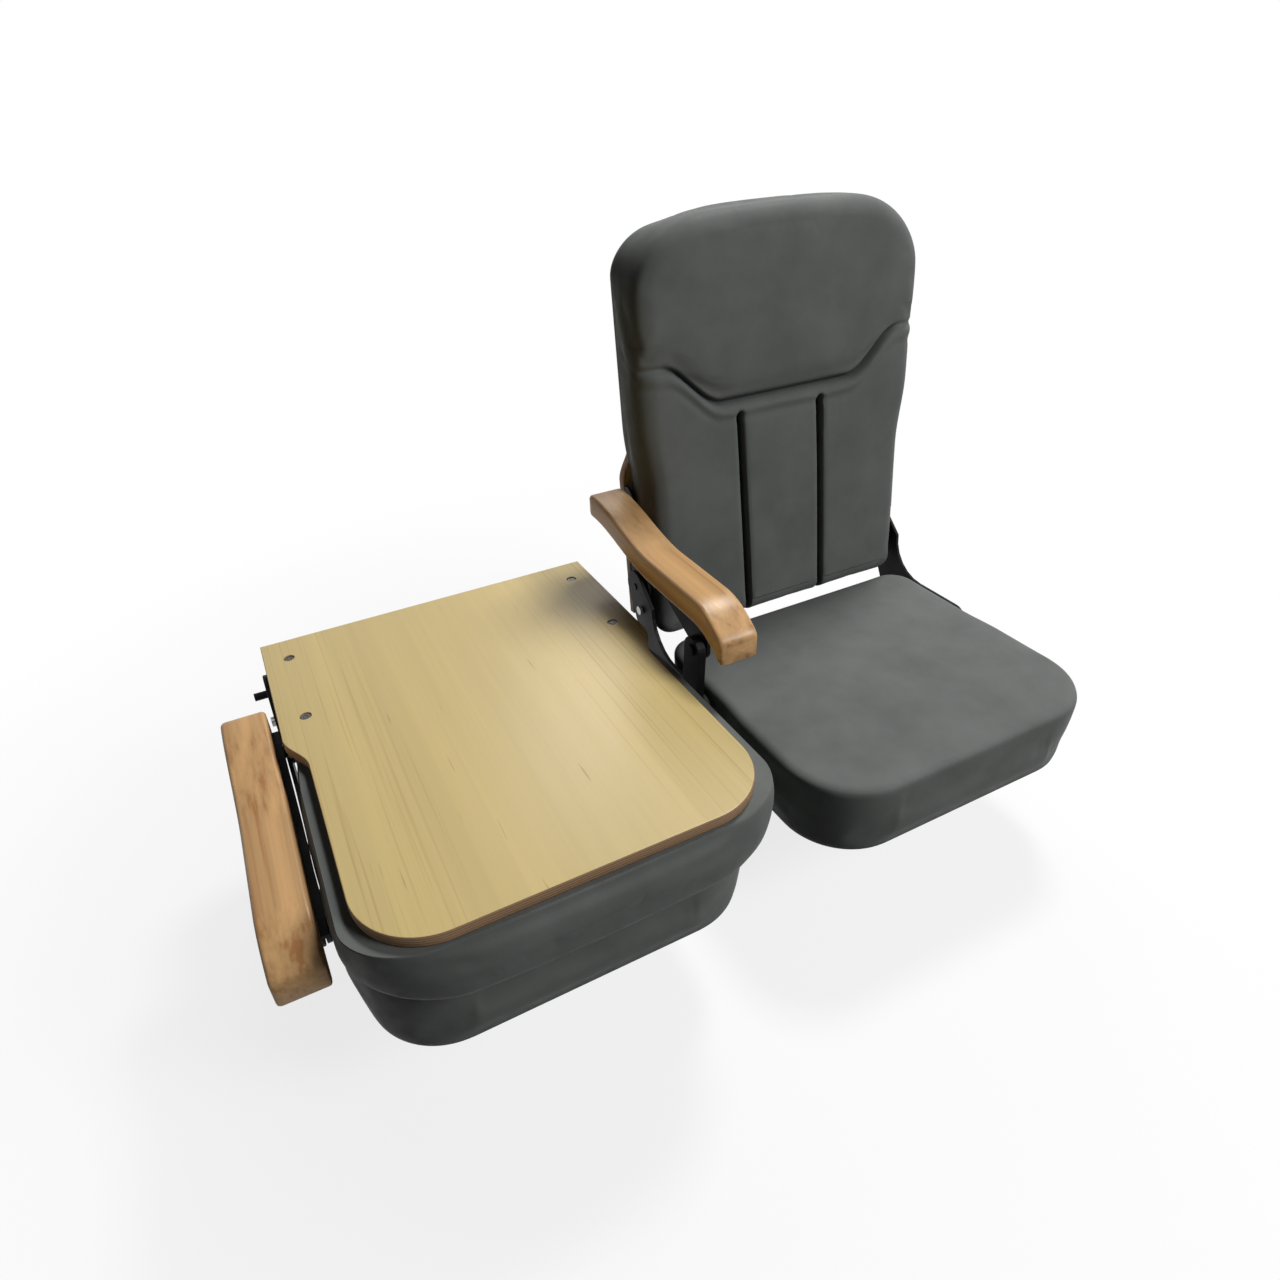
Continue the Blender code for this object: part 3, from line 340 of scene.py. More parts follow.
class Finish(NodeTree):
    """One node material under construction."""

    def __init__(self, name):
        self.material = bpy.data.materials.new(name)
        self.material.use_nodes = True
        super().__init__(self.material.node_tree)
        self.shader = self.tree.nodes["Principled BSDF"]
        self.place = self.node("ShaderNodeTexCoord").outputs["Object"]

    def stretched(self, source, scale):
        """Coordinates with their own scale on each axis."""
        mapping = self.node("ShaderNodeMapping", {"Scale": scale})
        self.link(source, mapping.inputs["Vector"])
        return mapping.outputs["Vector"]

    def noise(self, source, scale, detail=3.0, rough=0.55, distortion=0.0):
        """Cloud texture value."""
        made = self.node("ShaderNodeTexNoise", {"Scale": scale, "Detail": detail, "Roughness": rough,
                                                "Distortion": distortion})
        self.link(source, made.inputs["Vector"])
        return made.outputs["Fac"]

    def cells(self, source, scale):
        """Cell texture distance."""
        made = self.node("ShaderNodeTexVoronoi", {"Scale": scale})
        self.link(source, made.inputs["Vector"])
        return made.outputs["Distance"]

    def ramp(self, source, stops):
        """Colours along a value."""
        made = self.node("ShaderNodeValToRGB")
        elements = made.color_ramp.elements
        while len(elements) < len(stops):
            elements.new(0.5)
        for element, (position, colour) in zip(elements, stops):
            element.position = position
            element.color = colour
        self.link(source, made.inputs["Fac"])
        return made.outputs["Color"]

    def tones(self, source, colour, *stops):
        """Lighter and darker tones of one colour along a value; a stop is a place and a gain."""
        return self.ramp(source, [(position, linear(colour, gain)) for position, gain in stops])

    def span(self, source, low, high, start=0.3, end=0.7):
        """A value's range moved to low and high."""
        made = self.node("ShaderNodeMapRange", {"From Min": start, "From Max": end, "To Min": low,
                                                "To Max": high})
        self.link(source, made.inputs["Value"])
        return made.outputs["Result"]

    def plus(self, first, second, share):
        """First value plus a share of the second."""
        return self.calc("MULTIPLY_ADD", second, share, first)

    def tint(self, base, factor, colour):
        """Base colour multiplied by another where factor is 1."""
        made = self.node("ShaderNodeMix", data_type="RGBA", blend_type="MULTIPLY")
        self.link(factor, made.inputs[0])
        self.link(base, made.inputs[6])
        made.inputs[7].default_value = colour
        return made.outputs[2]

    def bump(self, height, strength, depth, under=None):
        """Surface normal from a height."""
        made = self.node("ShaderNodeBump", {"Strength": strength, "Distance": depth})
        self.link(height, made.inputs["Height"])
        if under is not None:
            self.link(under, made.inputs["Normal"])
        return made.outputs["Normal"]

    def done(self, colour, rough, normal, gloss=0.5):
        """Joins colour, roughness and normal to the shader and sets its gloss."""
        self.shader.inputs["Specular IOR Level"].default_value = gloss
        self.link(colour, self.shader.inputs["Base Color"])
        self.link(rough, self.shader.inputs["Roughness"])
        self.link(normal, self.shader.inputs["Normal"])
        return self.material


def leatherette(colour):
    """Soft grained cover with faint mottling and painted shade in its channels and its seam's valley."""
    finish = Finish("leatherette")
    mottle = finish.noise(finish.place, 14.0, 4.0)
    tone = finish.tones(mottle, colour, (0.30, 0.94), (0.52, 1.0), (0.72, 1.05))
    # Painted shade: the fold attribute darkens the cover in the channels and the seam's valley
    fold = finish.node("ShaderNodeAttribute", attribute_name="fold").outputs["Fac"]
    tone = finish.tint(tone, fold, linear((0.24, 0.24, 0.24)))
    grain = finish.cells(finish.place, 900.0)
    fine = finish.noise(finish.place, 2400.0, 2.0)
    pores = finish.plus(grain, fine, 0.5)
    slack = finish.noise(finish.place, 34.0, 3.0, 0.5)
    normal = finish.bump(slack, 0.10, 0.004)
    normal = finish.bump(pores, 0.22, 0.0003, normal)
    rough = finish.span(finish.noise(finish.place, 60.0, 3.0), 0.46, 0.58)
    return finish.done(tone, rough, normal, gloss=0.03)


def board_face(colour):
    """Plain straight-grained plywood face under thin lacquer, along the board's own UV."""
    finish = Finish("plywood_face")
    across = finish.node("ShaderNodeUVMap", uv_map="board").outputs["UV"]
    slow = finish.noise(finish.stretched(across, (15.0, 0.7, 1.0)), 1.0, 2.0)
    streak = finish.noise(finish.stretched(across, (110.0, 1.3, 1.0)), 1.0, 3.0)
    grain = finish.plus(slow, streak, 0.40)
    tone = finish.tones(grain, colour, (0.45, 0.955), (0.62, 0.985), (0.74, 1.0), (0.92, 1.03))
    parts = finish.node("ShaderNodeSeparateXYZ")
    finish.link(across, parts.inputs["Vector"])
    outer = finish.calc("ABSOLUTE", parts.outputs["X"])
    figure = finish.span(outer, 0.10, 1.0, 0.08, 0.18)
    lines = finish.noise(finish.stretched(across, (260.0, 2.0, 1.0)), 1.0, 2.0)
    thin = finish.span(lines, 0.0, 0.62, 0.55, 0.72)
    tone = finish.tint(tone, finish.calc("MULTIPLY", thin, figure), linear((0.80, 0.72, 0.60)))
    flecks = finish.noise(finish.stretched(across, (190.0, 9.0, 1.0)), 1.0, 1.0)
    tone = finish.tint(tone, finish.span(flecks, 0.0, 0.6, 0.745, 0.80), linear((0.74, 0.60, 0.42)))
    pores = finish.noise(finish.stretched(across, (1300.0, 40.0, 1.0)), 1.0, 2.0)
    normal = finish.bump(pores, 0.05, 0.0002)
    return finish.done(tone, finish.span(streak, 0.27, 0.34), normal, gloss=0.40)


def board_edge(colour):
    """Stained plywood edge with its layers, along the board's own depth attribute."""
    finish = Finish("plywood_edge")
    depth = finish.node("ShaderNodeAttribute", attribute_name="ply").outputs["Fac"]
    layers = finish.calc("PINGPONG", finish.calc("MULTIPLY", depth, 9.0), 1.0)
    fibre = finish.noise(finish.place, 300.0, 3.0)
    value = finish.plus(layers, fibre, 0.5)
    tone = finish.tones(value, colour, (0.25, 0.74), (0.75, 1.0), (1.0, 1.12))
    normal = finish.bump(value, 0.18, 0.0003)
    return finish.done(tone, finish.span(fibre, 0.50, 0.66), normal)


def armrest_wood(colour):
    """Lacquered solid wood with long wavy grain."""
    finish = Finish("armrest_wood")
    red = (colour[0] * 0.84, colour[1] * 0.75, colour[2] * 0.66)
    slow = finish.noise(finish.stretched(finish.place, (46.0, 1.5, 60.0)), 1.0, 2.0, 0.5, 0.35)
    streak = finish.noise(finish.stretched(finish.place, (240.0, 3.2, 240.0)), 1.0, 3.0, 0.55, 0.3)
    grain = finish.plus(slow, streak, 0.45)
    tone = finish.ramp(grain, [(0.52, linear(red)), (0.64, linear(colour, 0.93)),
                               (0.78, linear(colour)), (0.95, linear(colour, 1.06))])
    flecks = finish.noise(finish.stretched(finish.place, (1200.0, 90.0, 1200.0)), 1.0, 2.0)
    tone = finish.tint(tone, finish.span(flecks, 0.0, 0.22, 0.60, 0.75), linear((0.78, 0.66, 0.52)))
    normal = finish.bump(flecks, 0.05, 0.0002)
    return finish.done(tone, finish.span(streak, 0.32, 0.42), normal, gloss=0.32)


def powder_coat(name, colour, peel_scale, rough_low, rough_high):
    """Satin coat with an orange-peel skin and slight wear in its tone."""
    finish = Finish(name)
    cloud = finish.noise(finish.place, 22.0, 4.0)
    tone = finish.tones(cloud, colour, (0.30, 0.82), (0.55, 1.0), (0.78, 1.25))
    peel = finish.noise(finish.place, peel_scale, 2.0)
    normal = finish.bump(peel, 0.14, 0.0003)
    return finish.done(tone, finish.span(cloud, rough_low, rough_high), normal, gloss=0.12)


def steel_coat(colour):
    """Black coat of the steelwork."""
    return powder_coat("powder_coat", colour, 700.0, 0.42, 0.56)


def plated_steel(name, colour):
    """Plated steel with fine turned lines and dull patches."""
    finish = Finish(name)
    cloud = finish.noise(finish.place, 240.0, 3.0)
    tone = finish.tones(cloud, colour, (0.32, 0.84), (0.6, 1.0), (0.8, 1.08))
    fine = finish.noise(finish.stretched(finish.place, (900.0, 3200.0, 3200.0)), 1.0, 2.0)
    finish.shader.inputs["Metallic"].default_value = 1.0
    return finish.done(tone, finish.span(cloud, 0.24, 0.40), finish.bump(fine, 0.12, 0.0002))


def stained_board(colour):
    """Plywood of the seat boards, darkened as painted shade under the cushions."""
    finish = Finish("stained_board")
    streak = finish.noise(finish.stretched(finish.place, (12.0, 160.0, 160.0)), 1.0, 3.0)
    tone = finish.tones(streak, colour, (0.35, 0.75), (0.55, 1.0), (0.75, 1.3))
    return finish.done(tone, finish.span(streak, 0.55, 0.72), finish.bump(streak, 0.15, 0.0003))


def shared(name, make, *values):
    """A finish that is made once and used again."""
    found = bpy.data.materials.get(name)
    return found if found is not None else make(*values)


# Cushions

# Rings round the rim and down the sides, the seat's mesh lines, and the simulation's frames
RIM_DEGREES = (12, 24, 36, 48, 60, 75, 90)
SIDE_RINGS = 8
SEAT_COLUMNS = 22
SEAT_ROWS = (12, 24, 8)
CLOTH_FRAMES = 20


class CushionForm:
    """Outline of a cushion in its own frame: across, along and height over its base."""

    def __init__(self, half, ends, radii, height, crown, roll, tuck, bulge, flare):
        self.half = half
        self.low, self.high = ends
        self.low_radius, self.high_radius = radii
        self.height = height
        self.crown = crown
        self.roll = roll
        self.tuck = tuck
        self.bulge = bulge
        self.bow = 0.0
        self.corner_drop = 0.0
        self.head_tuck = 0.0
        self.flare = flare

    def run(self, drop=0.0):
        """Length of the straight run; drop is how much smaller the high corner's radius is."""
        return self.high - self.high_radius + drop - self.low - self.low_radius

    def fraction(self, b):
        """The along value of a distance on the straight run."""
        return 1 + (b - self.low - self.low_radius) / self.run()

    def point(self, across, along, inset, drop=0.0):
        """Place on the outline drawn in by inset; along runs over low corner, run and high corner."""
        b = self.low + self.low_radius + (min(max(along, 1), 2) - 1) * self.run(drop)
        half = self.half - inset + self.flare(across, b)
        if along <= 1:
            radius = self.low_radius - inset
            turn = math.radians(90 * along)
            a = across * (half - radius * (1 - math.sin(turn)))
            return a, self.low + inset + radius * (1 - math.cos(turn))
        if along >= 2:
            radius = self.high_radius - drop - inset
            turn = math.radians(90 * (3 - along))
            a = across * (half - radius * (1 - math.sin(turn)))
            bow = self.bow * (along - 2) * (1 - across ** 2)
            return a, self.high - inset - radius * (1 - math.cos(turn)) + bow
        return across * half, b


def sewn_cushion(form, columns, rows, relief, warp):
    """Closed cushion: crowned face, soft rim and drawn-in sides; its face points are tagged."""
    bm = bmesh.new()
    across_tag = bm.verts.layers.float.new("across")
    along_tag = bm.verts.layers.float.new("along")
    face_tag = bm.verts.layers.float.new("face")
    bmesh.ops.create_grid(bm, x_segments=len(columns) - 1, y_segments=len(rows) - 1, size=0.5)
    for vert in bm.verts:
        vert[across_tag] = columns[round((vert.co.x + 0.5) * (len(columns) - 1))]
        vert[along_tag] = rows[round((vert.co.y + 0.5) * (len(rows) - 1))]
        vert[face_tag] = 1.0
    middle = (form.low + form.high) / 2
    reach = (form.high - form.low) / 2 - form.roll
    for vert in bm.verts:
        a, b = form.point(vert[across_tag], vert[along_tag], form.roll)
        dome = (1 - (a / (form.half - form.roll)) ** 2) * (1 - ((b - middle) / reach) ** 2)
        lean, climb = warp(a, b)
        a += lean
        b += climb
        vert.co = (a, b, form.height + form.crown * max(dome, 0.0) + relief(a, b))

    side = form.height - form.roll
    rings = []
    for degrees in RIM_DEGREES:
        turn = math.radians(degrees)
        rings.append((form.roll - (form.roll + form.bulge) * math.sin(turn),
                      side + form.roll * math.cos(turn)))
    for i in range(1, SIDE_RINGS + 1):
        down = i / SIDE_RINGS
        swell = form.bulge * (1 - down) * math.cos(down * math.pi / 2)
        rings.append((form.tuck * down ** 2 - swell, side * (1 - down)))
    edge = [e for e in bm.edges if e.is_boundary]
    lip = {}
    for vert in {v for e in edge for v in e.verts}:
        lip[(vert[across_tag], vert[along_tag])] = vert.co.copy()
    for inset, height in rings:
        grown = bmesh.ops.extrude_edge_only(bm, edges=edge)["geom"]
        edge = [e for e in grown if isinstance(e, bmesh.types.BMEdge) and e.is_boundary]
        for vert in [v for v in grown if isinstance(v, bmesh.types.BMVert)]:
            key = (vert[across_tag], vert[along_tag])
            low = max(1 - height / side, 0.0)
            a, b = form.point(*key, inset, form.corner_drop * low)
            b -= form.head_tuck * low ** 2 * smoothstep(key[1] - 2)
            rim = form.point(*key, form.roll)
            fade = height / form.height
            vert[face_tag] = max((height - side) / form.roll, 0.0)
            vert.co = (a + (lip[key].x - rim[0]) * fade, b + lip[key].y - rim[1],
                       height + (lip[key].z - form.height) * fade)
    bmesh.ops.recalc_face_normals(bm, faces=bm.faces)
    return mesh_of(bm, "cushion")


def settled(piece, held, side_limit, face_limit):
    """Inflates a cushion as cloth round its foam, with its sewn points held and its motion capped."""
    start = [vert.co.copy() for vert in piece.data.vertices]
    face = [item.value for item in piece.data.attributes["face"].data]
    group = piece.vertex_groups.new(name="sewn")
    group.add(held, 1.0, "REPLACE")
    cloth = piece.modifiers.new("cover", "CLOTH")
    cloth.settings.quality = 5
    cloth.settings.mass = 0.4
    cloth.settings.tension_stiffness = 20
    cloth.settings.compression_stiffness = 20
    cloth.settings.shear_stiffness = 8
    cloth.settings.bending_stiffness = 1.5
    cloth.settings.use_pressure = True
    cloth.settings.uniform_pressure_force = 4
    cloth.settings.effector_weights.gravity = 0
    cloth.settings.vertex_group_mass = "sewn"
    cloth.point_cache.frame_start = 1
    cloth.point_cache.frame_end = CLOTH_FRAMES
    scene = bpy.context.scene
    for number in range(1, CLOTH_FRAMES + 1):
        scene.frame_set(number)
    graph = bpy.context.evaluated_depsgraph_get()
    moved = [vert.co.copy() for vert in piece.evaluated_get(graph).data.vertices]
    piece.modifiers.clear()
    piece.vertex_groups.clear()
    scene.frame_set(1)
    for vert, old, new, share in zip(piece.data.vertices, start, moved, face):
        limit = side_limit + (face_limit - side_limit) * share
        step = new - old
        if step.length > 0:
            vert.co = old + step.normalized() * limit * math.tanh(step.length / limit)


def refined(piece):
    """One subdivision, a closed flat base and smooth shading."""
    subdivision = piece.modifiers.new("fine", "SUBSURF")
    subdivision.levels = 1
    subdivision.render_levels = 1
    mesh = plain_mesh(piece)
    bm = bmesh.new()
    bm.from_mesh(mesh)
    bmesh.ops.edgeloop_fill(bm, edges=[e for e in bm.edges if e.is_boundary])
    bmesh.ops.recalc_face_normals(bm, faces=bm.faces)
    bm.to_mesh(mesh)
    bm.free()
    for face in mesh.polygons:
        face.use_smooth = len(face.vertices) == 4
    for name in ("across", "along", "face"):
        mesh.attributes.remove(mesh.attributes[name])
    return mesh


class BLEACHER_OT_seat_cushions(Operator):
    """Make both seat cushions from one inflated form"""
    bl_idname = "bleacher.seat_cushions"
    bl_label = "Seat cushions"

    def execute(self, context):
        sizes = context.scene.bleacher_seat
        colours = context.scene.bleacher_colours

        def flare(across, b):
            return sizes.flare * smoothstep((sizes.flare_start - b) / sizes.flare_run)

        form = CushionForm(sizes.half_width - sizes.bulge, (SEAT_LOW.y, SEAT_HIGH.y),
                           (sizes.front_radius, sizes.rear_radius), sizes.thick, sizes.crown,
                           sizes.roll, sizes.tuck, sizes.bulge, flare)
        columns = mirrored(steps_between(0.0, 1.0, SEAT_COLUMNS) + [1.0])
        rows = []
        for start, count in enumerate(SEAT_ROWS):
            rows += steps_between(start, start + 1, count)
        rows.append(len(SEAT_ROWS))
        mesh = sewn_cushion(form, columns, rows, lambda a, b: 0.0, lambda a, b: (0.0, 0.0))
        model = new_piece("seat_form", mesh)
        held = [v.index for v in mesh.vertices if v.co.z < form.roll]
        settled(model, held, sizes.swell, sizes.face_swell)
        mesh = refined(model)
        for place in PLACES:
            own = mesh.copy()
            own.transform(Matrix.Translation((HINGE[place].x, 0, SEAT_LOW.z + CONTACT)))
            piece = new_piece(f"{place}_seat_cover", own)
            cover = shared("leatherette", leatherette, colours.leather)
            finished(piece, cover, "base", [f"{place}_seat_cushion"])
        bpy.data.objects.remove(model)
        return {"FINISHED"}


# Mesh lines over a channel in channel halves, on both sides of it, and from the foot to the head
CHANNEL_STEPS = (0, 0.7, 1.0, 1.25, 1.6, 2.2, 3.4)
INNER_COLUMNS = 7
OUTER_COLUMNS = 15
FOOT_ROWS = 4
LOWER_ROWS = 28
SEAM_ROWS = 30
UPPER_ROWS = 4
HEAD_ROWS = 14

# How far the fine rows reach below and above the seam
FINE_BELOW = 0.046
FINE_ABOVE = 0.040

# How far from a channel or the seam the mesh follows its lean and climb
LEAN_REACH = 0.05
CLIMB_REACH = 0.105

# Sewn points: share of a channel's half, the channels' free upper ends, and the seam's half width
CHANNEL_HOLD = 0.9
CHANNEL_FREE = 0.02
SEAM_HOLD = 0.003

# Ripples beside the cross seam: height, place past the seam and half width
HEAD_SLOPE = (-0.0035, 0.010, 0.012)
SEAM_ROLL = (0.0028, -0.0115, 0.0066)
ROLL_FOOT = (-0.0012, -0.024, 0.006)

# The seam grows shallow near the sides, by this share from this place over this run
SEAM_FADE = 0.6
FADE_START = 0.165
FADE_RUN = 0.030

# Where the head's rise and the channels' upper ends begin past the seam, and their runs
HEAD_START = 0.004
HEAD_RUN = 0.045
CHANNEL_END = 0.013
CHANNEL_END_RUN = 0.008

# Raised lips beside the channels: height in metres, place and half width in channel halves
CHANNEL_LIP = (0.0010, 2.6, 1.0)

# Painted shade in the folds of the cover: the channels' upper ends, and the seam's share, place, half width
# and ends
FOLD_END = 0.011
FOLD_END_RUN = 0.006
SEAM_SHADE = (0.75, 0.001, 0.0035)
SHADE_END = 0.200
SHADE_END_RUN = 0.020

# Head corner that the folded pad presses out: place in the outline, reach, swell and where it fades
CORNER_INSET = (0.035, 0.060)
CORNER_REACH = 0.075
CORNER_SWELL = 0.0085
CORNER_POWER = 0.7
CORNER_FAINT = 0.01
SWELL_CENTRE = (0.10, 0.33)

# Creases round that corner: depth, how many in a full turn, lean with the height, start and run
CREASE_DEPTH = 0.0011
CREASE_COUNT = 17
CREASE_LEAN = 60
CREASE_START = 0.02
CREASE_RUN = 0.03


def ripple(value, shape):
    """A hump of a height, at a place and with a half width."""
    height, place, half = shape
    return height * hump(value - place, half)


def seam_climb(sizes, a):
    """How far the cross seam has climbed at a distance from the middle."""
    return sizes.seam_rise * smoothstep((abs(a) - sizes.seam_flat) / sizes.seam_run)


def channel_shift(sizes, b):
    """Sideways lean of the channels: none at the foot, most at the cross seam."""
    return -sizes.channel_lean * min(max((b - BOARD_FOOT) / (sizes.seam_height - BOARD_FOOT), 0.0), 1.0)


def back_relief(sizes, a, b):
    """Cross seam, the slim roll under it, the fuller head and the two long channels."""
    past = b - sizes.seam_height - seam_climb(sizes, a)
    edge = 1 - SEAM_FADE * smoothstep((abs(a) - FADE_START) / FADE_RUN)
    seam = -sizes.seam_depth * hump(past, sizes.seam_half)
    beside = edge * (seam + ripple(past, HEAD_SLOPE) + ripple(past, SEAM_ROLL))
    foot = ripple(past, ROLL_FOOT)
    head = sizes.head_rise * smoothstep((past - HEAD_START) / HEAD_RUN)
    below = smoothstep(-(past + CHANNEL_END) / CHANNEL_END_RUN)
    side = (abs(a - channel_shift(sizes, b)) - sizes.channel_gap) / sizes.channel_half
    channel = -sizes.channel_depth * below * math.exp(-side ** 6)
    lips = below * ripple(abs(side), CHANNEL_LIP)
    return beside + foot + head + channel + lips


def paint_fold_shade(mesh, sizes, form):
    """Notes the painted shade where the cover is drawn together, in the channels and in the seam's valley.
    """
    layer = mesh.attributes.new("fold", "FLOAT", "POINT")
    for vert, item in zip(mesh.vertices, layer.data):
        past = vert.co.y - sizes.seam_height - seam_climb(sizes, vert.co.x)
        off = abs(abs(vert.co.x - channel_shift(sizes, vert.co.y)) - sizes.channel_gap)
        channel = smoothstep(-(past + FOLD_END) / FOLD_END_RUN) * math.exp(-(off / sizes.channel_half) ** 4)
        seam = ripple(past, SEAM_SHADE) * smoothstep((SHADE_END - abs(vert.co.x)) / SHADE_END_RUN)
        item.value = max(channel, seam) if vert.co.z > form.height - 2 * form.roll else 0.0


def pressed_corner(mesh, form):
    """Swells and creases the head corner that the folded pad presses out on its free side."""
    corner = Vector((form.half - CORNER_INSET[0], form.high - CORNER_INSET[1]))
    for vert in mesh.vertices:
        flat = Vector((vert.co.x, vert.co.y))
        away = flat - corner
        level = min(max(vert.co.z / form.height, 0.0), 1.0)
        near = hump(away.length, CORNER_REACH) * math.sin(math.pi * level) ** CORNER_POWER
        if near < CORNER_FAINT or flat.x < 0:
            continue
        out = (flat - Vector(SWELL_CENTRE)).normalized()
        wave = math.sin(math.atan2(out.y, out.x) * CREASE_COUNT + vert.co.z * CREASE_LEAN)
        crease = CREASE_DEPTH * wave * smoothstep((away.length - CREASE_START) / CREASE_RUN)
        vert.co.x += out.x * (CORNER_SWELL + crease) * near
        vert.co.y += out.y * (CORNER_SWELL + crease) * near


class BLEACHER_OT_back_cushions(Operator):
    """Make both back cushions with their sewn seam and channels"""
    bl_idname = "bleacher.back_cushions"
    bl_label = "Back cushions"

    def execute(self, context):
        sizes = context.scene.bleacher_back
        colours = context.scene.bleacher_colours

        def flare(across, b):
            free = smoothstep((b - sizes.flare_start) / sizes.flare_run)
            wide = sizes.flare + (sizes.free_side if across > 0 else sizes.arm_side)
            return wide * free - sizes.bulge * (1 - free)

        low = HINGE["left"].y - PAD_HIGH.y + sizes.bulge
        high = HINGE["left"].y - PAD_LOW.y - sizes.bulge - sizes.bow
        form = CushionForm(sizes.half_width, (low, high), (sizes.foot_radius, sizes.head_radius),
                           sizes.thick, sizes.crown, sizes.roll, sizes.tuck, sizes.bulge, flare)
        form.bow = sizes.bow
        form.corner_drop = sizes.corner_drop
        form.head_tuck = sizes.head_tuck
        inner = form.half - form.roll
        gap = sizes.channel_gap
        half = sizes.channel_half
        near = [gap + half * step for step in mirrored(CHANNEL_STEPS)]
        steps = steps_between(0, near[0], INNER_COLUMNS) + near[:-1]
        steps += steps_between(near[-1], inner, OUTER_COLUMNS) + [inner]
        columns = mirrored([s / inner for s in steps])
        start = form.fraction(sizes.seam_height - FINE_BELOW)
        end = form.fraction(sizes.seam_height + FINE_ABOVE)
        rows = steps_between(0, 1, FOOT_ROWS) + steps_between(1, start, LOWER_ROWS)
        rows += steps_between(start, end, SEAM_ROWS) + steps_between(end, 2, UPPER_ROWS)
        rows += steps_between(2, 3, HEAD_ROWS) + [3]

        def relief(a, b):
            return back_relief(sizes, a, b)

        def warp(a, b):
            across = channel_shift(sizes, b) * hump(abs(a) - gap, LEAN_REACH)
            return across, seam_climb(sizes, a) * hump(b - sizes.seam_height, CLIMB_REACH)

        mesh = sewn_cushion(form, columns, rows, relief, warp)
        model = new_piece("back_form", mesh)
        held = []
        for vert in mesh.vertices:
            past = vert.co.y - sizes.seam_height - seam_climb(sizes, vert.co.x)
            off = abs(abs(vert.co.x - channel_shift(sizes, vert.co.y)) - gap)
            in_channel = off < half * CHANNEL_HOLD and past < -CHANNEL_FREE
            if vert.co.z < form.roll / 2 or abs(past) < SEAM_HOLD or in_channel:
                held.append(vert.index)
        settled(model, held, sizes.swell, sizes.face_swell)
        mesh = refined(model)
        # Painted shade for the channels and the seam's valley, kept in the fold attribute
        paint_fold_shade(mesh, sizes, form)
        stand = Matrix.Translation((0, BOARD_FRONT - CONTACT, 0)) @ Matrix.Rotation(LEVEL, 4, "X")
        for place in PLACES:
            own = mesh.copy()
            if place == "left":
                pressed_corner(own, form)
            own.transform(back_matrix(place) @ stand)
            piece = new_piece(f"{place}_back_cover", own)
            cover = shared("leatherette", leatherette, colours.leather)
            finished(piece, cover, f"{place}_back", [f"{place}_back_cushion"])
        bpy.data.objects.remove(model)
        return {"FINISHED"}


# Boards and armrests

# Steps of the board's outline, and sides of its pockets
SHOULDER_STEPS = 16
CORNER_STEPS = 24
POCKET_SIDES = 32

# Least Z of the normal on a board's flat faces, and angles in degrees under which edges look smooth
FLAT_FACE = 0.9
BOARD_SMOOTH = 50
WOOD_SMOOTH = 40

# Cross sections of the armrest, steps of its edges, and the share of an end's rounding on top and sides
EDGE_STEPS = 5
REAR_STEPS = (0.0, 0.0012, 0.003, 0.006, 0.010)
NOSE_STEPS = (0.012, 0.008, 0.005, 0.0025, 0.001, 0.0)
PLAIN_START = 0.014
PLAIN_STEPS = 70
TOP_SHARE = 0.7
SIDE_SHARE = 0.6

# Skirt of the armrest: its small edge, the step's slope and the step's end along the wood
SKIRT_EDGE = 0.002
STEP_SLOPE = 0.0005
STEP_RUN = 0.0006


def flat_plate(name, loops, thick, edge):
    """Plate with rounded edges from closed outlines in the XY plane; later loops are holes."""
    curve = bpy.data.curves.new(name, "CURVE")
    curve.dimensions = "2D"
    curve.fill_mode = "BOTH"
    curve.extrude = thick / 2 - edge
    curve.bevel_depth = edge
    curve.bevel_resolution = 2
    curve.offset = -edge
    for loop in loops:
        spline = curve.splines.new("POLY")
        spline.points.add(len(loop) - 1)
        for point, (x, y) in zip(spline.points, loop):
            point.co = (x, y, 0, 1)
        spline.use_cyclic_u = True
    holder = new_piece(name, curve)
    bpy.context.view_layer.update()
    graph = bpy.context.evaluated_depsgraph_get()
    mesh = bpy.data.meshes.new_from_object(holder.evaluated_get(graph))
    bpy.data.objects.remove(holder)
    return mesh


def circle_loop(centre, radius, count):
    """Points of a circle."""
    turns = [2 * math.pi * i / count for i in range(count)]
    return [(centre[0] + radius * math.cos(t), centre[1] + radius * math.sin(t)) for t in turns]


def board_outline(sizes):
    """Back board's outline: wide foot, smooth shoulders and round head corners."""
    right = [(BOARD_HALF, BOARD_FOOT)]
    run = sizes.shoulder_high - sizes.shoulder_low
    for i in range(SHOULDER_STEPS + 1):
        t = i / SHOULDER_STEPS
        right.append((BOARD_HALF - sizes.shoulder * smoothstep(t), sizes.shoulder_low + run * t))
    radius = sizes.board_radius
    centre = (BOARD_HALF - sizes.shoulder - radius, BOARD_HEAD - radius)
    for i in range(CORNER_STEPS + 1):
        turn = LEVEL * i / CORNER_STEPS
        right.append((centre[0] + radius * math.cos(turn), centre[1] + radius * math.sin(turn)))
    return right + [(-x, z) for x, z in reversed(right)]


def screw_places():
    """Board screws' centres in the back's own frame, read from the folded place."""
    places = []
    for level in ("low", "high"):
        for side in SIDES:
            low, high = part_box(f"left_board_screw_{level}_{side}")
            middle = (low + high) / 2
            places.append((middle.x - HINGE["left"].x, HINGE["left"].y - middle.y))
    return places


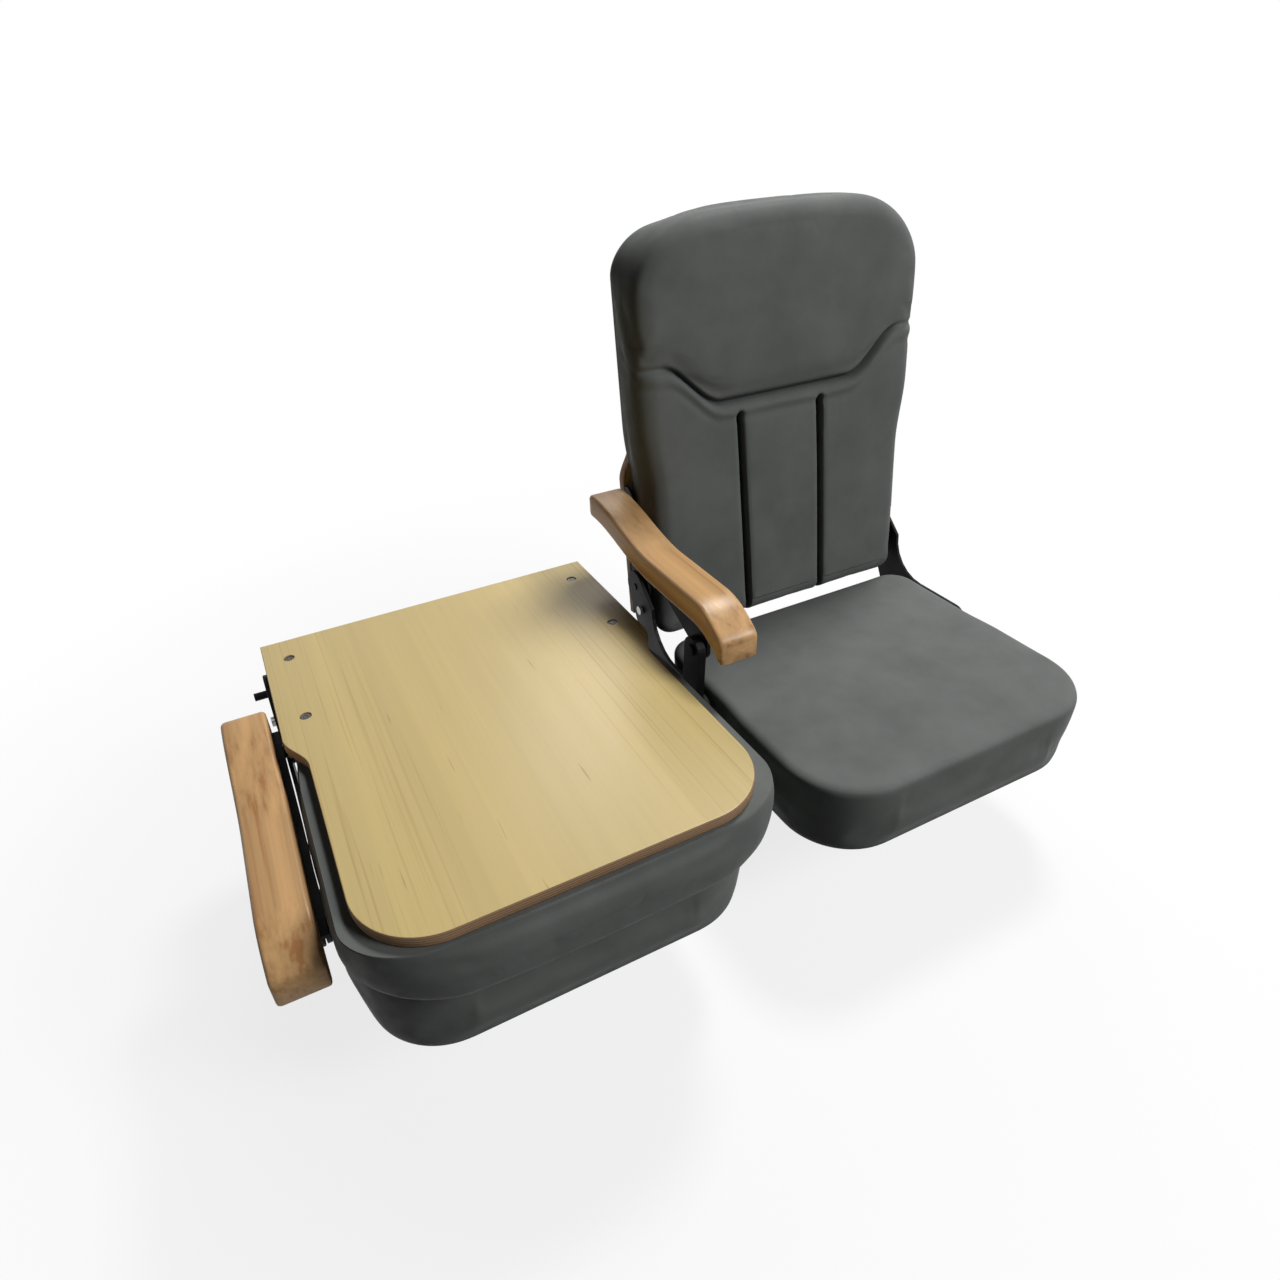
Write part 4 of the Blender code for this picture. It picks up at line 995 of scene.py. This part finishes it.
class BLEACHER_OT_back_boards(Operator):
    """Make both plywood back boards with their screw pockets"""
    bl_idname = "bleacher.back_boards"
    bl_label = "Back boards"

    def execute(self, context):
        sizes = context.scene.bleacher_back
        colours = context.scene.bleacher_colours
        loops = [board_outline(sizes)]
        loops += [circle_loop(centre, sizes.pocket_radius, POCKET_SIDES) for centre in screw_places()]
        mesh = flat_plate("board_form", loops, BOARD_THICK, sizes.board_edge)
        bm = bmesh.new()
        bm.from_mesh(mesh)
        bmesh.ops.remove_doubles(bm, verts=bm.verts, dist=1e-6)
        bmesh.ops.recalc_face_normals(bm, faces=bm.faces)
        grain = bm.loops.layers.uv.new("board")
        ply = bm.verts.layers.float.new("ply")
        for vert in bm.verts:
            vert[ply] = vert.co.z / BOARD_THICK + 0.5
        for face in bm.faces:
            for corner in face.loops:
                corner[grain].uv = (corner.vert.co.x, corner.vert.co.y)
        bm.to_mesh(mesh)
        bm.free()
        soften(mesh, BOARD_SMOOTH)
        rims = [int(abs(face.normal.z) < FLAT_FACE) for face in mesh.polygons]
        mesh.polygons.foreach_set("use_smooth", [rim == 1 for rim in rims])
        middle = BOARD_FRONT + BOARD_THICK / 2
        stand = Matrix.Translation((0, middle, 0)) @ Matrix.Rotation(LEVEL, 4, "X")
        for place in PLACES:
            own = mesh.copy()
            own.transform(back_matrix(place) @ stand)
            piece = new_piece(f"{place}_board", own)
            face = shared("plywood_face", board_face, colours.plywood)
            finished(piece, face, f"{place}_back", [f"{place}_back_board"])
            own.materials.append(shared("plywood_edge", board_edge, colours.ply_edge))
            own.polygons.foreach_set("material_index", rims)
        return {"FINISHED"}


def arm_under(sizes, t):
    """Height of the wood's underside over its rear pivot."""
    fall = sizes.fall * smoothstep((t - sizes.fall_start) / (sizes.fall_end - sizes.fall_start))
    droop = sizes.droop * max((t - sizes.length + sizes.droop_run) / sizes.droop_run, 0.0) ** 2
    return sizes.lift - fall - droop


def rounded_bar(sizes):
    """Armrest as a row of cross sections: rounded edges and a skirt outside the carrier strip."""
    half = sizes.width / 2
    edge = sizes.edge
    bm = bmesh.new()
    rings = []
    stations = list(REAR_STEPS)
    stations += steps_between(PLAIN_START, sizes.length - NOSE_STEPS[0], PLAIN_STEPS)
    stations += [sizes.length - back for back in NOSE_STEPS]
    stations += [sizes.strip_end, sizes.strip_end + STEP_RUN]
    for t in sorted(stations):
        rear_in = sizes.rear_round * (1 - math.sqrt(1 - max(1 - t / sizes.rear_round, 0.0) ** 2))
        to_nose = (sizes.length - t) / sizes.nose_round
        nose_in = sizes.nose_round * (1 - math.sqrt(1 - max(1 - to_nose, 0.0) ** 2))
        inset = TOP_SHARE * max(rear_in, nose_in)
        top = arm_under(sizes, t) + sizes.thick - inset
        skirt = arm_under(sizes, t) + inset - sizes.skirt
        lift = 0.0 if t > sizes.strip_end else sizes.skirt
        left = -half + SIDE_SHARE * inset
        right = half - SIDE_SHARE * inset
        step = sizes.strip_edge
        section = corner_arc(right - edge, top - edge, edge, 0)
        section += corner_arc(left + edge, top - edge, edge, 1)
        section += corner_arc(left + edge, skirt + edge, edge, 2)
        section += [(step - SKIRT_EDGE, skirt), (step, skirt + min(lift, SKIRT_EDGE)),
                    (step + STEP_SLOPE, skirt + lift)]
        section += corner_arc(right - edge / 2, skirt + lift + edge / 2, edge / 2, 3)
        rings.append([bm.verts.new((x, sizes.rear - t, z)) for x, z in section])
    count = len(rings[0])
    for near, far in zip(rings, rings[1:]):
        for i in range(count):
            bm.faces.new((near[i - 1], near[i], far[i], far[i - 1]))
    bm.faces.new(rings[0])
    bm.faces.new(rings[-1])
    bmesh.ops.recalc_face_normals(bm, faces=bm.faces)
    return mesh_of(bm, "bar")


def corner_arc(x, z, radius, quarter):
    """Points of a quarter circle round a corner's centre, counted from the right-hand top."""
    turns = [LEVEL * (quarter + i / EDGE_STEPS) for i in range(EDGE_STEPS + 1)]
    return [(x + radius * math.cos(t), z + radius * math.sin(t)) for t in turns]


class BLEACHER_OT_armrests(Operator):
    """Make both curved wooden armrests"""
    bl_idname = "bleacher.armrests"
    bl_label = "Armrests"

    def execute(self, context):
        sizes = context.scene.bleacher_arm
        colours = context.scene.bleacher_colours
        mesh = rounded_bar(sizes)
        soften(mesh, WOOD_SMOOTH)
        for place in PLACES:
            low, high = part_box(f"{place}_armrest")
            own = mesh.copy()
            pivot = ARM_PIVOT[place]
            own.transform(Matrix.Translation(((low.x + high.x) / 2, pivot.y, pivot.z)))
            piece = new_piece(f"{place}_arm_wood", own)
            wood = shared("armrest_wood", armrest_wood, colours.beech)
            finished(piece, wood, f"{place}_arm", [f"{place}_armrest"])
        return {"FINISHED"}


# Fasteners and steel

# Sides of a screw's head, socket and shank, the sunken shank's place, and a bead's smoothing angle
HEAD_SIDES = 28
SOCKET_SIDES = 6
SHANK_SIDES = 12
SHANK_PLACE = -0.501
BEAD_SMOOTH = 80


class PieceTree(NodeTree):
    """One Geometry Nodes tree with named inputs."""

    def __init__(self, name, inputs):
        super().__init__(bpy.data.node_groups.new(name, "GeometryNodeTree"))
        sockets = [("Geometry", "INPUT", "Geometry"), ("Geometry", "OUTPUT", "Geometry")]
        sockets += [(label, "INPUT", kind) for label, kind in inputs.items()]
        for label, way, kind in sockets:
            self.tree.interface.new_socket(label, in_out=way, socket_type=f"NodeSocket{kind}")
        self.given = self.tree.nodes.new("NodeGroupInput").outputs
        self.result = self.tree.nodes.new("NodeGroupOutput").inputs["Geometry"]

    def along_z(self, socket, factor):
        """An input times a factor, as a step along Z."""
        step = self.node("ShaderNodeCombineXYZ")
        self.link(self.calc("MULTIPLY", socket, factor), step.inputs["Z"])
        return step.outputs["Vector"]

    def rod(self, sides, radius, depth, factor):
        """Upright cylinder moved along Z by a factor of its depth."""
        made = self.node("GeometryNodeMeshCylinder", {"Vertices": sides})
        self.link(self.given[radius], made.inputs["Radius"])
        self.link(self.given[depth], made.inputs["Depth"])
        moved = self.node("GeometryNodeTransform")
        self.link(made.outputs["Mesh"], moved.inputs["Geometry"])
        self.link(self.along_z(self.given[depth], factor), moved.inputs["Translation"])
        return moved.outputs["Geometry"]

    def spread(self, points, shape, turn=None):
        """The shape on every point, made real and given the material."""
        placed = self.node("GeometryNodeInstanceOnPoints")
        self.link(points, placed.inputs["Points"])
        self.link(shape, placed.inputs["Instance"])
        if turn is not None:
            self.link(turn, placed.inputs["Rotation"])
        real = self.node("GeometryNodeRealizeInstances")
        coat = self.node("GeometryNodeSetMaterial")
        self.link(placed.outputs["Instances"], real.inputs["Geometry"])
        self.link(real.outputs["Geometry"], coat.inputs["Geometry"])
        self.link(self.given["Material"], coat.inputs["Material"])
        self.link(coat.outputs["Geometry"], self.result)

    def grown(self, name, points, edges, turn, values):
        """The tree's result on points or lines, as a piece with a plain mesh."""
        mesh = bpy.data.meshes.new(name)
        mesh.from_pydata(points, edges, [])
        layer = mesh.attributes.new("turn", "FLOAT_VECTOR", "POINT")
        for item in layer.data:
            item.vector = turn
        piece = new_piece(name, mesh)
        modifier = piece.modifiers.new("nodes", "NODES")
        modifier.node_group = self.tree
        for item in self.tree.interface.items_tree:
            if item.in_out == "INPUT" and item.name in values:
                modifier[item.identifier] = values[item.name]
        if not plain_mesh(piece).polygons:
            raise RuntimeError(f"{name} came out empty")
        return piece


def screw_tree():
    """Sets a socket screw on every point, its head's top on the point, turned by the point's attribute."""
    labels = ("Head radius", "Head height", "Socket radius", "Socket depth", "Shank radius", "Length")
    tree = PieceTree("socket_screws", {**dict.fromkeys(labels, "Float"), "Material": "Material"})
    head = tree.rod(HEAD_SIDES, "Head radius", "Head height", -0.5)
    socket = tree.rod(SOCKET_SIDES, "Socket radius", "Socket depth", 0.0)
    cut = tree.node("GeometryNodeMeshBoolean", operation="DIFFERENCE")
    tree.link(head, cut.inputs["Mesh 1"])
    tree.link(socket, cut.inputs["Mesh 2"])
    whole = tree.node("GeometryNodeJoinGeometry")
    tree.link(cut.outputs["Mesh"], whole.inputs["Geometry"])
    tree.link(tree.rod(SHANK_SIDES, "Shank radius", "Length", SHANK_PLACE), whole.inputs["Geometry"])
    named = tree.node("GeometryNodeInputNamedAttribute", {"Name": "turn"}, data_type="FLOAT_VECTOR")
    euler = tree.node("FunctionNodeEulerToRotation")
    tree.link(named.outputs["Attribute"], euler.inputs["Euler"])
    tree.spread(tree.given["Geometry"], whole.outputs["Geometry"], euler.outputs["Rotation"])
    return tree


def weld_tree():
    """Lays a row of small overlapping beads along every line."""
    tree = PieceTree("weld_beads", {"Bead radius": "Float", "Bead step": "Float", "Material": "Material"})
    lines = tree.node("GeometryNodeMeshToCurve")
    spaced = tree.node("GeometryNodeResampleCurve", mode="LENGTH")
    bead = tree.node("GeometryNodeMeshIcoSphere", {"Subdivisions": 1})
    tree.link(tree.given["Geometry"], lines.inputs["Mesh"])
    tree.link(lines.outputs["Curve"], spaced.inputs["Curve"])
    tree.link(tree.given["Bead step"], spaced.inputs["Length"])
    tree.link(tree.given["Bead radius"], bead.inputs["Radius"])
    tree.spread(spaced.outputs["Curve"], bead.outputs["Mesh"])
    return tree


def weld_lines():
    """Weld seams: plates on the beam, rail ends on the plates and feet under the beam."""
    beam_low, beam_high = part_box("main_beam")
    lines = []
    for place in PLACES:
        for side in SIDES:
            low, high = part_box(f"{place}_side_plate_{side}")
            for x in (low.x, high.x):
                ends = (beam_low.y + CONTACT, beam_high.y - CONTACT)
                lines.append([(x, y, beam_high.z) for y in ends])
        for end in ("front", "rear"):
            low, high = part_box(f"{place}_seat_rail_{end}")
            for x in (low.x, high.x):
                corners = [(low.y, high.z), (low.y, low.z), (high.y, low.z), (high.y, high.z)]
                lines.append([(x, y, z) for y, z in corners])
    for place in PLACES:
        low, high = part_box(f"deck_foot_{place}")
        for way in (-1, 1):
            x = (low.x + high.x) / 2 + way * (beam_high.y - beam_low.y) / 2
            lines.append([(x, beam_low.y, high.z), (x, beam_high.y, high.z)])
    return lines


class BLEACHER_OT_fasteners(Operator):
    """Make the board screws and the weld beads with Geometry Nodes"""
    bl_idname = "bleacher.fasteners"
    bl_label = "Screws and welds"

    def execute(self, context):
        sizes = context.scene.bleacher_fasteners
        colours = context.scene.bleacher_colours
        low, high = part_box("left_board_screw_low_outer")
        plating = plated_steel("screw_plate", colours.screw)
        values = {"Head radius": (high.x - low.x) / 2, "Head height": sizes.head_height,
                  "Socket radius": sizes.socket_radius, "Socket depth": sizes.socket_depth,
                  "Shank radius": sizes.shank_radius, "Length": high.z - low.z, "Material": plating}
        tree = screw_tree()
        for place in PLACES:
            stand = back_matrix(place)
            points = [stand @ Vector((x, high.z - HINGE["left"].z, z)) for x, z in screw_places()]
            piece = tree.grown(f"{place}_screws", points, [], (BACK_TILT[place] - LEVEL, 0, 0), values)
            names = [f"{place}_board_screw_{level}_{side}" for level in ("low", "high") for side in SIDES]
            finished(piece, plating, f"{place}_back", names)
        points = []
        edges = []
        for line in weld_lines():
            edges += [(len(points) + i, len(points) + i + 1) for i in range(len(line) - 1)]
            points += line
        coat = shared("powder_coat", steel_coat, colours.steel)
        values = {"Bead radius": sizes.bead_radius, "Bead step": sizes.bead_step, "Material": coat}
        piece = weld_tree().grown("weld_beads", points, edges, (0, 0, 0), values)
        finished(piece, coat, "base", [])
        soften(piece.data, BEAD_SMOOTH)
        return {"FINISHED"}


class BLEACHER_OT_steelwork(Operator):
    """Give the frame's own pieces their finishes and rounded edges"""
    bl_idname = "bleacher.steelwork"
    bl_label = "Steelwork"

    def execute(self, context):
        colours = context.scene.bleacher_colours
        finishes = {
            "black_steel": shared("powder_coat", steel_coat, colours.steel),
            "black_plastic": powder_coat("cap_plastic", colours.plastic, 1500.0, 0.48, 0.62),
            "zinc": plated_steel("zinc_plate", colours.zinc),
            # Seat boards: their dark colour is painted shade under the cushions
            "plywood": stained_board(colours.board_and_shade),
        }
        for node in frame["nodes"].values():
            if node.hide_render:
                continue
            for slot in node.material_slots:
                if slot.material.name not in finishes:
                    continue
                slot.material = finishes[slot.material.name]
            weld = node.modifiers.new("join", "WELD")
            weld.merge_threshold = JOIN_DISTANCE
            bevel = node.modifiers.new("edges", "BEVEL")
            bevel.width = STEEL_EDGE
            bevel.segments = 2
            bevel.limit_method = "ANGLE"
            bevel.angle_limit = SHARP_ANGLE
        return {"FINISHED"}


# Stage

class BLEACHER_OT_stage(Operator):
    """Set the floor, the studio light and the camera"""
    bl_idname = "bleacher.stage"
    bl_label = "Stage"

    def execute(self, context):
        self.floor()
        self.world(context.scene)
        for name, values in SOFTBOXES.items():
            self.lamp(name, *values)
        self.camera(context.scene)
        context.scene.view_settings.view_transform = "Standard"
        return {"FINISHED"}

    def seen(self, nodes):
        """1 for rays that come from the camera, from gloss or through glass."""
        path = nodes.node("ShaderNodeLightPath").outputs
        value = path["Is Camera Ray"]
        for name in ("Is Glossy Ray", "Is Transmission Ray"):
            value = nodes.calc("MAXIMUM", value, path[name])
        return value

    def floor(self):
        """Pale floor, white to the camera further out, that keeps the object's shadow."""
        bm = bmesh.new()
        bmesh.ops.create_grid(bm, x_segments=2, y_segments=2, size=FLOOR_HALF)
        mesh = mesh_of(bm, "studio_floor")
        floor = new_piece("studio_floor", mesh)
        finish = Finish("studio_floor")
        seen = self.seen(finish)
        pale = finish.node("ShaderNodeMapRange", {"To Min": FLOOR_TONE, "To Max": FLOOR_SEEN})
        finish.link(seen, pale.inputs["Value"])
        finish.link(pale.outputs["Result"], finish.shader.inputs["Base Color"])
        finish.shader.inputs["Roughness"].default_value = FLOOR_ROUGH
        finish.shader.inputs["Specular IOR Level"].default_value = 0.0
        distance = finish.node("ShaderNodeVectorMath", operation="LENGTH")
        finish.link(finish.place, distance.inputs[0])
        share = finish.span(distance.outputs["Value"], *FLOOR_GLOW, *GLOW_RUN)
        glow = finish.node("ShaderNodeEmission", {"Strength": 1.0})
        mix = finish.node("ShaderNodeMixShader")
        finish.link(finish.calc("MULTIPLY", share, seen), mix.inputs["Fac"])
        finish.link(finish.shader.outputs["BSDF"], mix.inputs[1])
        finish.link(glow.outputs["Emission"], mix.inputs[2])
        finish.link(mix.outputs["Shader"], finish.tree.nodes["Material Output"].inputs["Surface"])
        mesh.materials.append(finish.material)

    def world(self, scene):
        """White to the camera, dim to the object."""
        world = bpy.data.worlds.new("studio")
        scene.world = world
        world.use_nodes = True
        nodes = NodeTree(world.node_tree)
        background = world.node_tree.nodes["Background"]
        background.inputs["Color"].default_value = (1, 1, 1, 1)
        level = nodes.node("ShaderNodeMapRange", {"To Min": ROOM_LIGHT, "To Max": 1.0})
        nodes.link(self.seen(nodes), level.inputs["Value"])
        nodes.link(level.outputs["Result"], background.inputs["Strength"])

    def lamp(self, name, place, aim, size, power):
        """Square softbox aimed at a point."""
        light = bpy.data.lights.new(name, "AREA")
        light.size = size
        light.energy = power
        holder = bpy.data.objects.new(name, light)
        bpy.context.scene.collection.objects.link(holder)
        holder.location = place
        holder.rotation_mode = "QUATERNION"
        holder.rotation_quaternion = (Vector(aim) - Vector(place)).to_track_quat("-Z", "Y")

    def camera(self, scene):
        """Camera at the fitted viewpoint."""
        azimuth = math.radians(CAMERA_AZIMUTH)
        elevation = math.radians(CAMERA_ELEVATION)
        roll = math.radians(CAMERA_ROLL)
        back = Vector((math.sin(azimuth) * math.cos(elevation), -math.cos(azimuth) * math.cos(elevation),
                       math.sin(elevation)))
        right = Vector((0, 0, 1)).cross(back).normalized()
        up = back.cross(right)
        turned_right = right * math.cos(roll) + up * math.sin(roll)
        turned_up = up * math.cos(roll) - right * math.sin(roll)
        lens = bpy.data.cameras.new("photo_camera")
        lens.sensor_width = SENSOR_WIDTH
        lens.lens = FOCAL_PIXELS * SENSOR_WIDTH / PHOTO_WIDTH
        lens.shift_x = (PHOTO_WIDTH / 2 - PHOTO_CENTRE[0]) / PHOTO_WIDTH
        lens.shift_y = (PHOTO_CENTRE[1] - PHOTO_WIDTH / 2) / PHOTO_WIDTH
        lens.clip_start = NEAREST
        camera = bpy.data.objects.new("photo_camera", lens)
        scene.collection.objects.link(camera)
        turn = Matrix((turned_right, turned_up, back)).transposed()
        camera.matrix_world = Matrix.Translation(CAMERA_PLACE) @ turn.to_4x4()
        scene.camera = camera


class BLEACHER_PT_panel(Panel):
    """Lists the operators and sizes in the sidebar"""
    bl_label = "Bleacher Seat"
    bl_idname = "BLEACHER_PT_panel"
    bl_space_type = "VIEW_3D"
    bl_region_type = "UI"
    bl_category = "Bleacher Seat"

    def draw(self, context):
        for operator in OPERATORS:
            self.layout.operator(operator.bl_idname)
        for label in GROUPS:
            group = getattr(context.scene, label)
            box = self.layout.box()
            for name in group.bl_rna.properties.keys():
                if name not in ("rna_type", "name"):
                    box.prop(group, name)


GROUPS = {
    "bleacher_seat": SeatSizes,
    "bleacher_back": BackSizes,
    "bleacher_arm": ArmSizes,
    "bleacher_fasteners": FastenerSizes,
    "bleacher_colours": SeatColours,
}
OPERATORS = (
    BLEACHER_OT_stage,
    BLEACHER_OT_seat_cushions,
    BLEACHER_OT_back_cushions,
    BLEACHER_OT_back_boards,
    BLEACHER_OT_armrests,
    BLEACHER_OT_fasteners,
    BLEACHER_OT_steelwork,
)


def register():
    """Registers the classes and their sizes on the scene."""
    for group in GROUPS.values():
        bpy.utils.register_class(group)
    for name, group in GROUPS.items():
        setattr(bpy.types.Scene, name, PointerProperty(type=group))
    for operator in OPERATORS:
        bpy.utils.register_class(operator)
    bpy.utils.register_class(BLEACHER_PT_panel)


def unregister():
    """Removes the classes and their sizes."""
    bpy.utils.unregister_class(BLEACHER_PT_panel)
    for operator in reversed(OPERATORS):
        bpy.utils.unregister_class(operator)
    for name, group in GROUPS.items():
        delattr(bpy.types.Scene, name)
        bpy.utils.unregister_class(group)


def main():
    """Builds every piece."""
    register()
    bpy.ops.bleacher.stage()
    bpy.ops.bleacher.seat_cushions()
    bpy.ops.bleacher.back_cushions()
    bpy.ops.bleacher.back_boards()
    bpy.ops.bleacher.armrests()
    bpy.ops.bleacher.fasteners()
    bpy.ops.bleacher.steelwork()


if __name__ == "__main__":
    main()
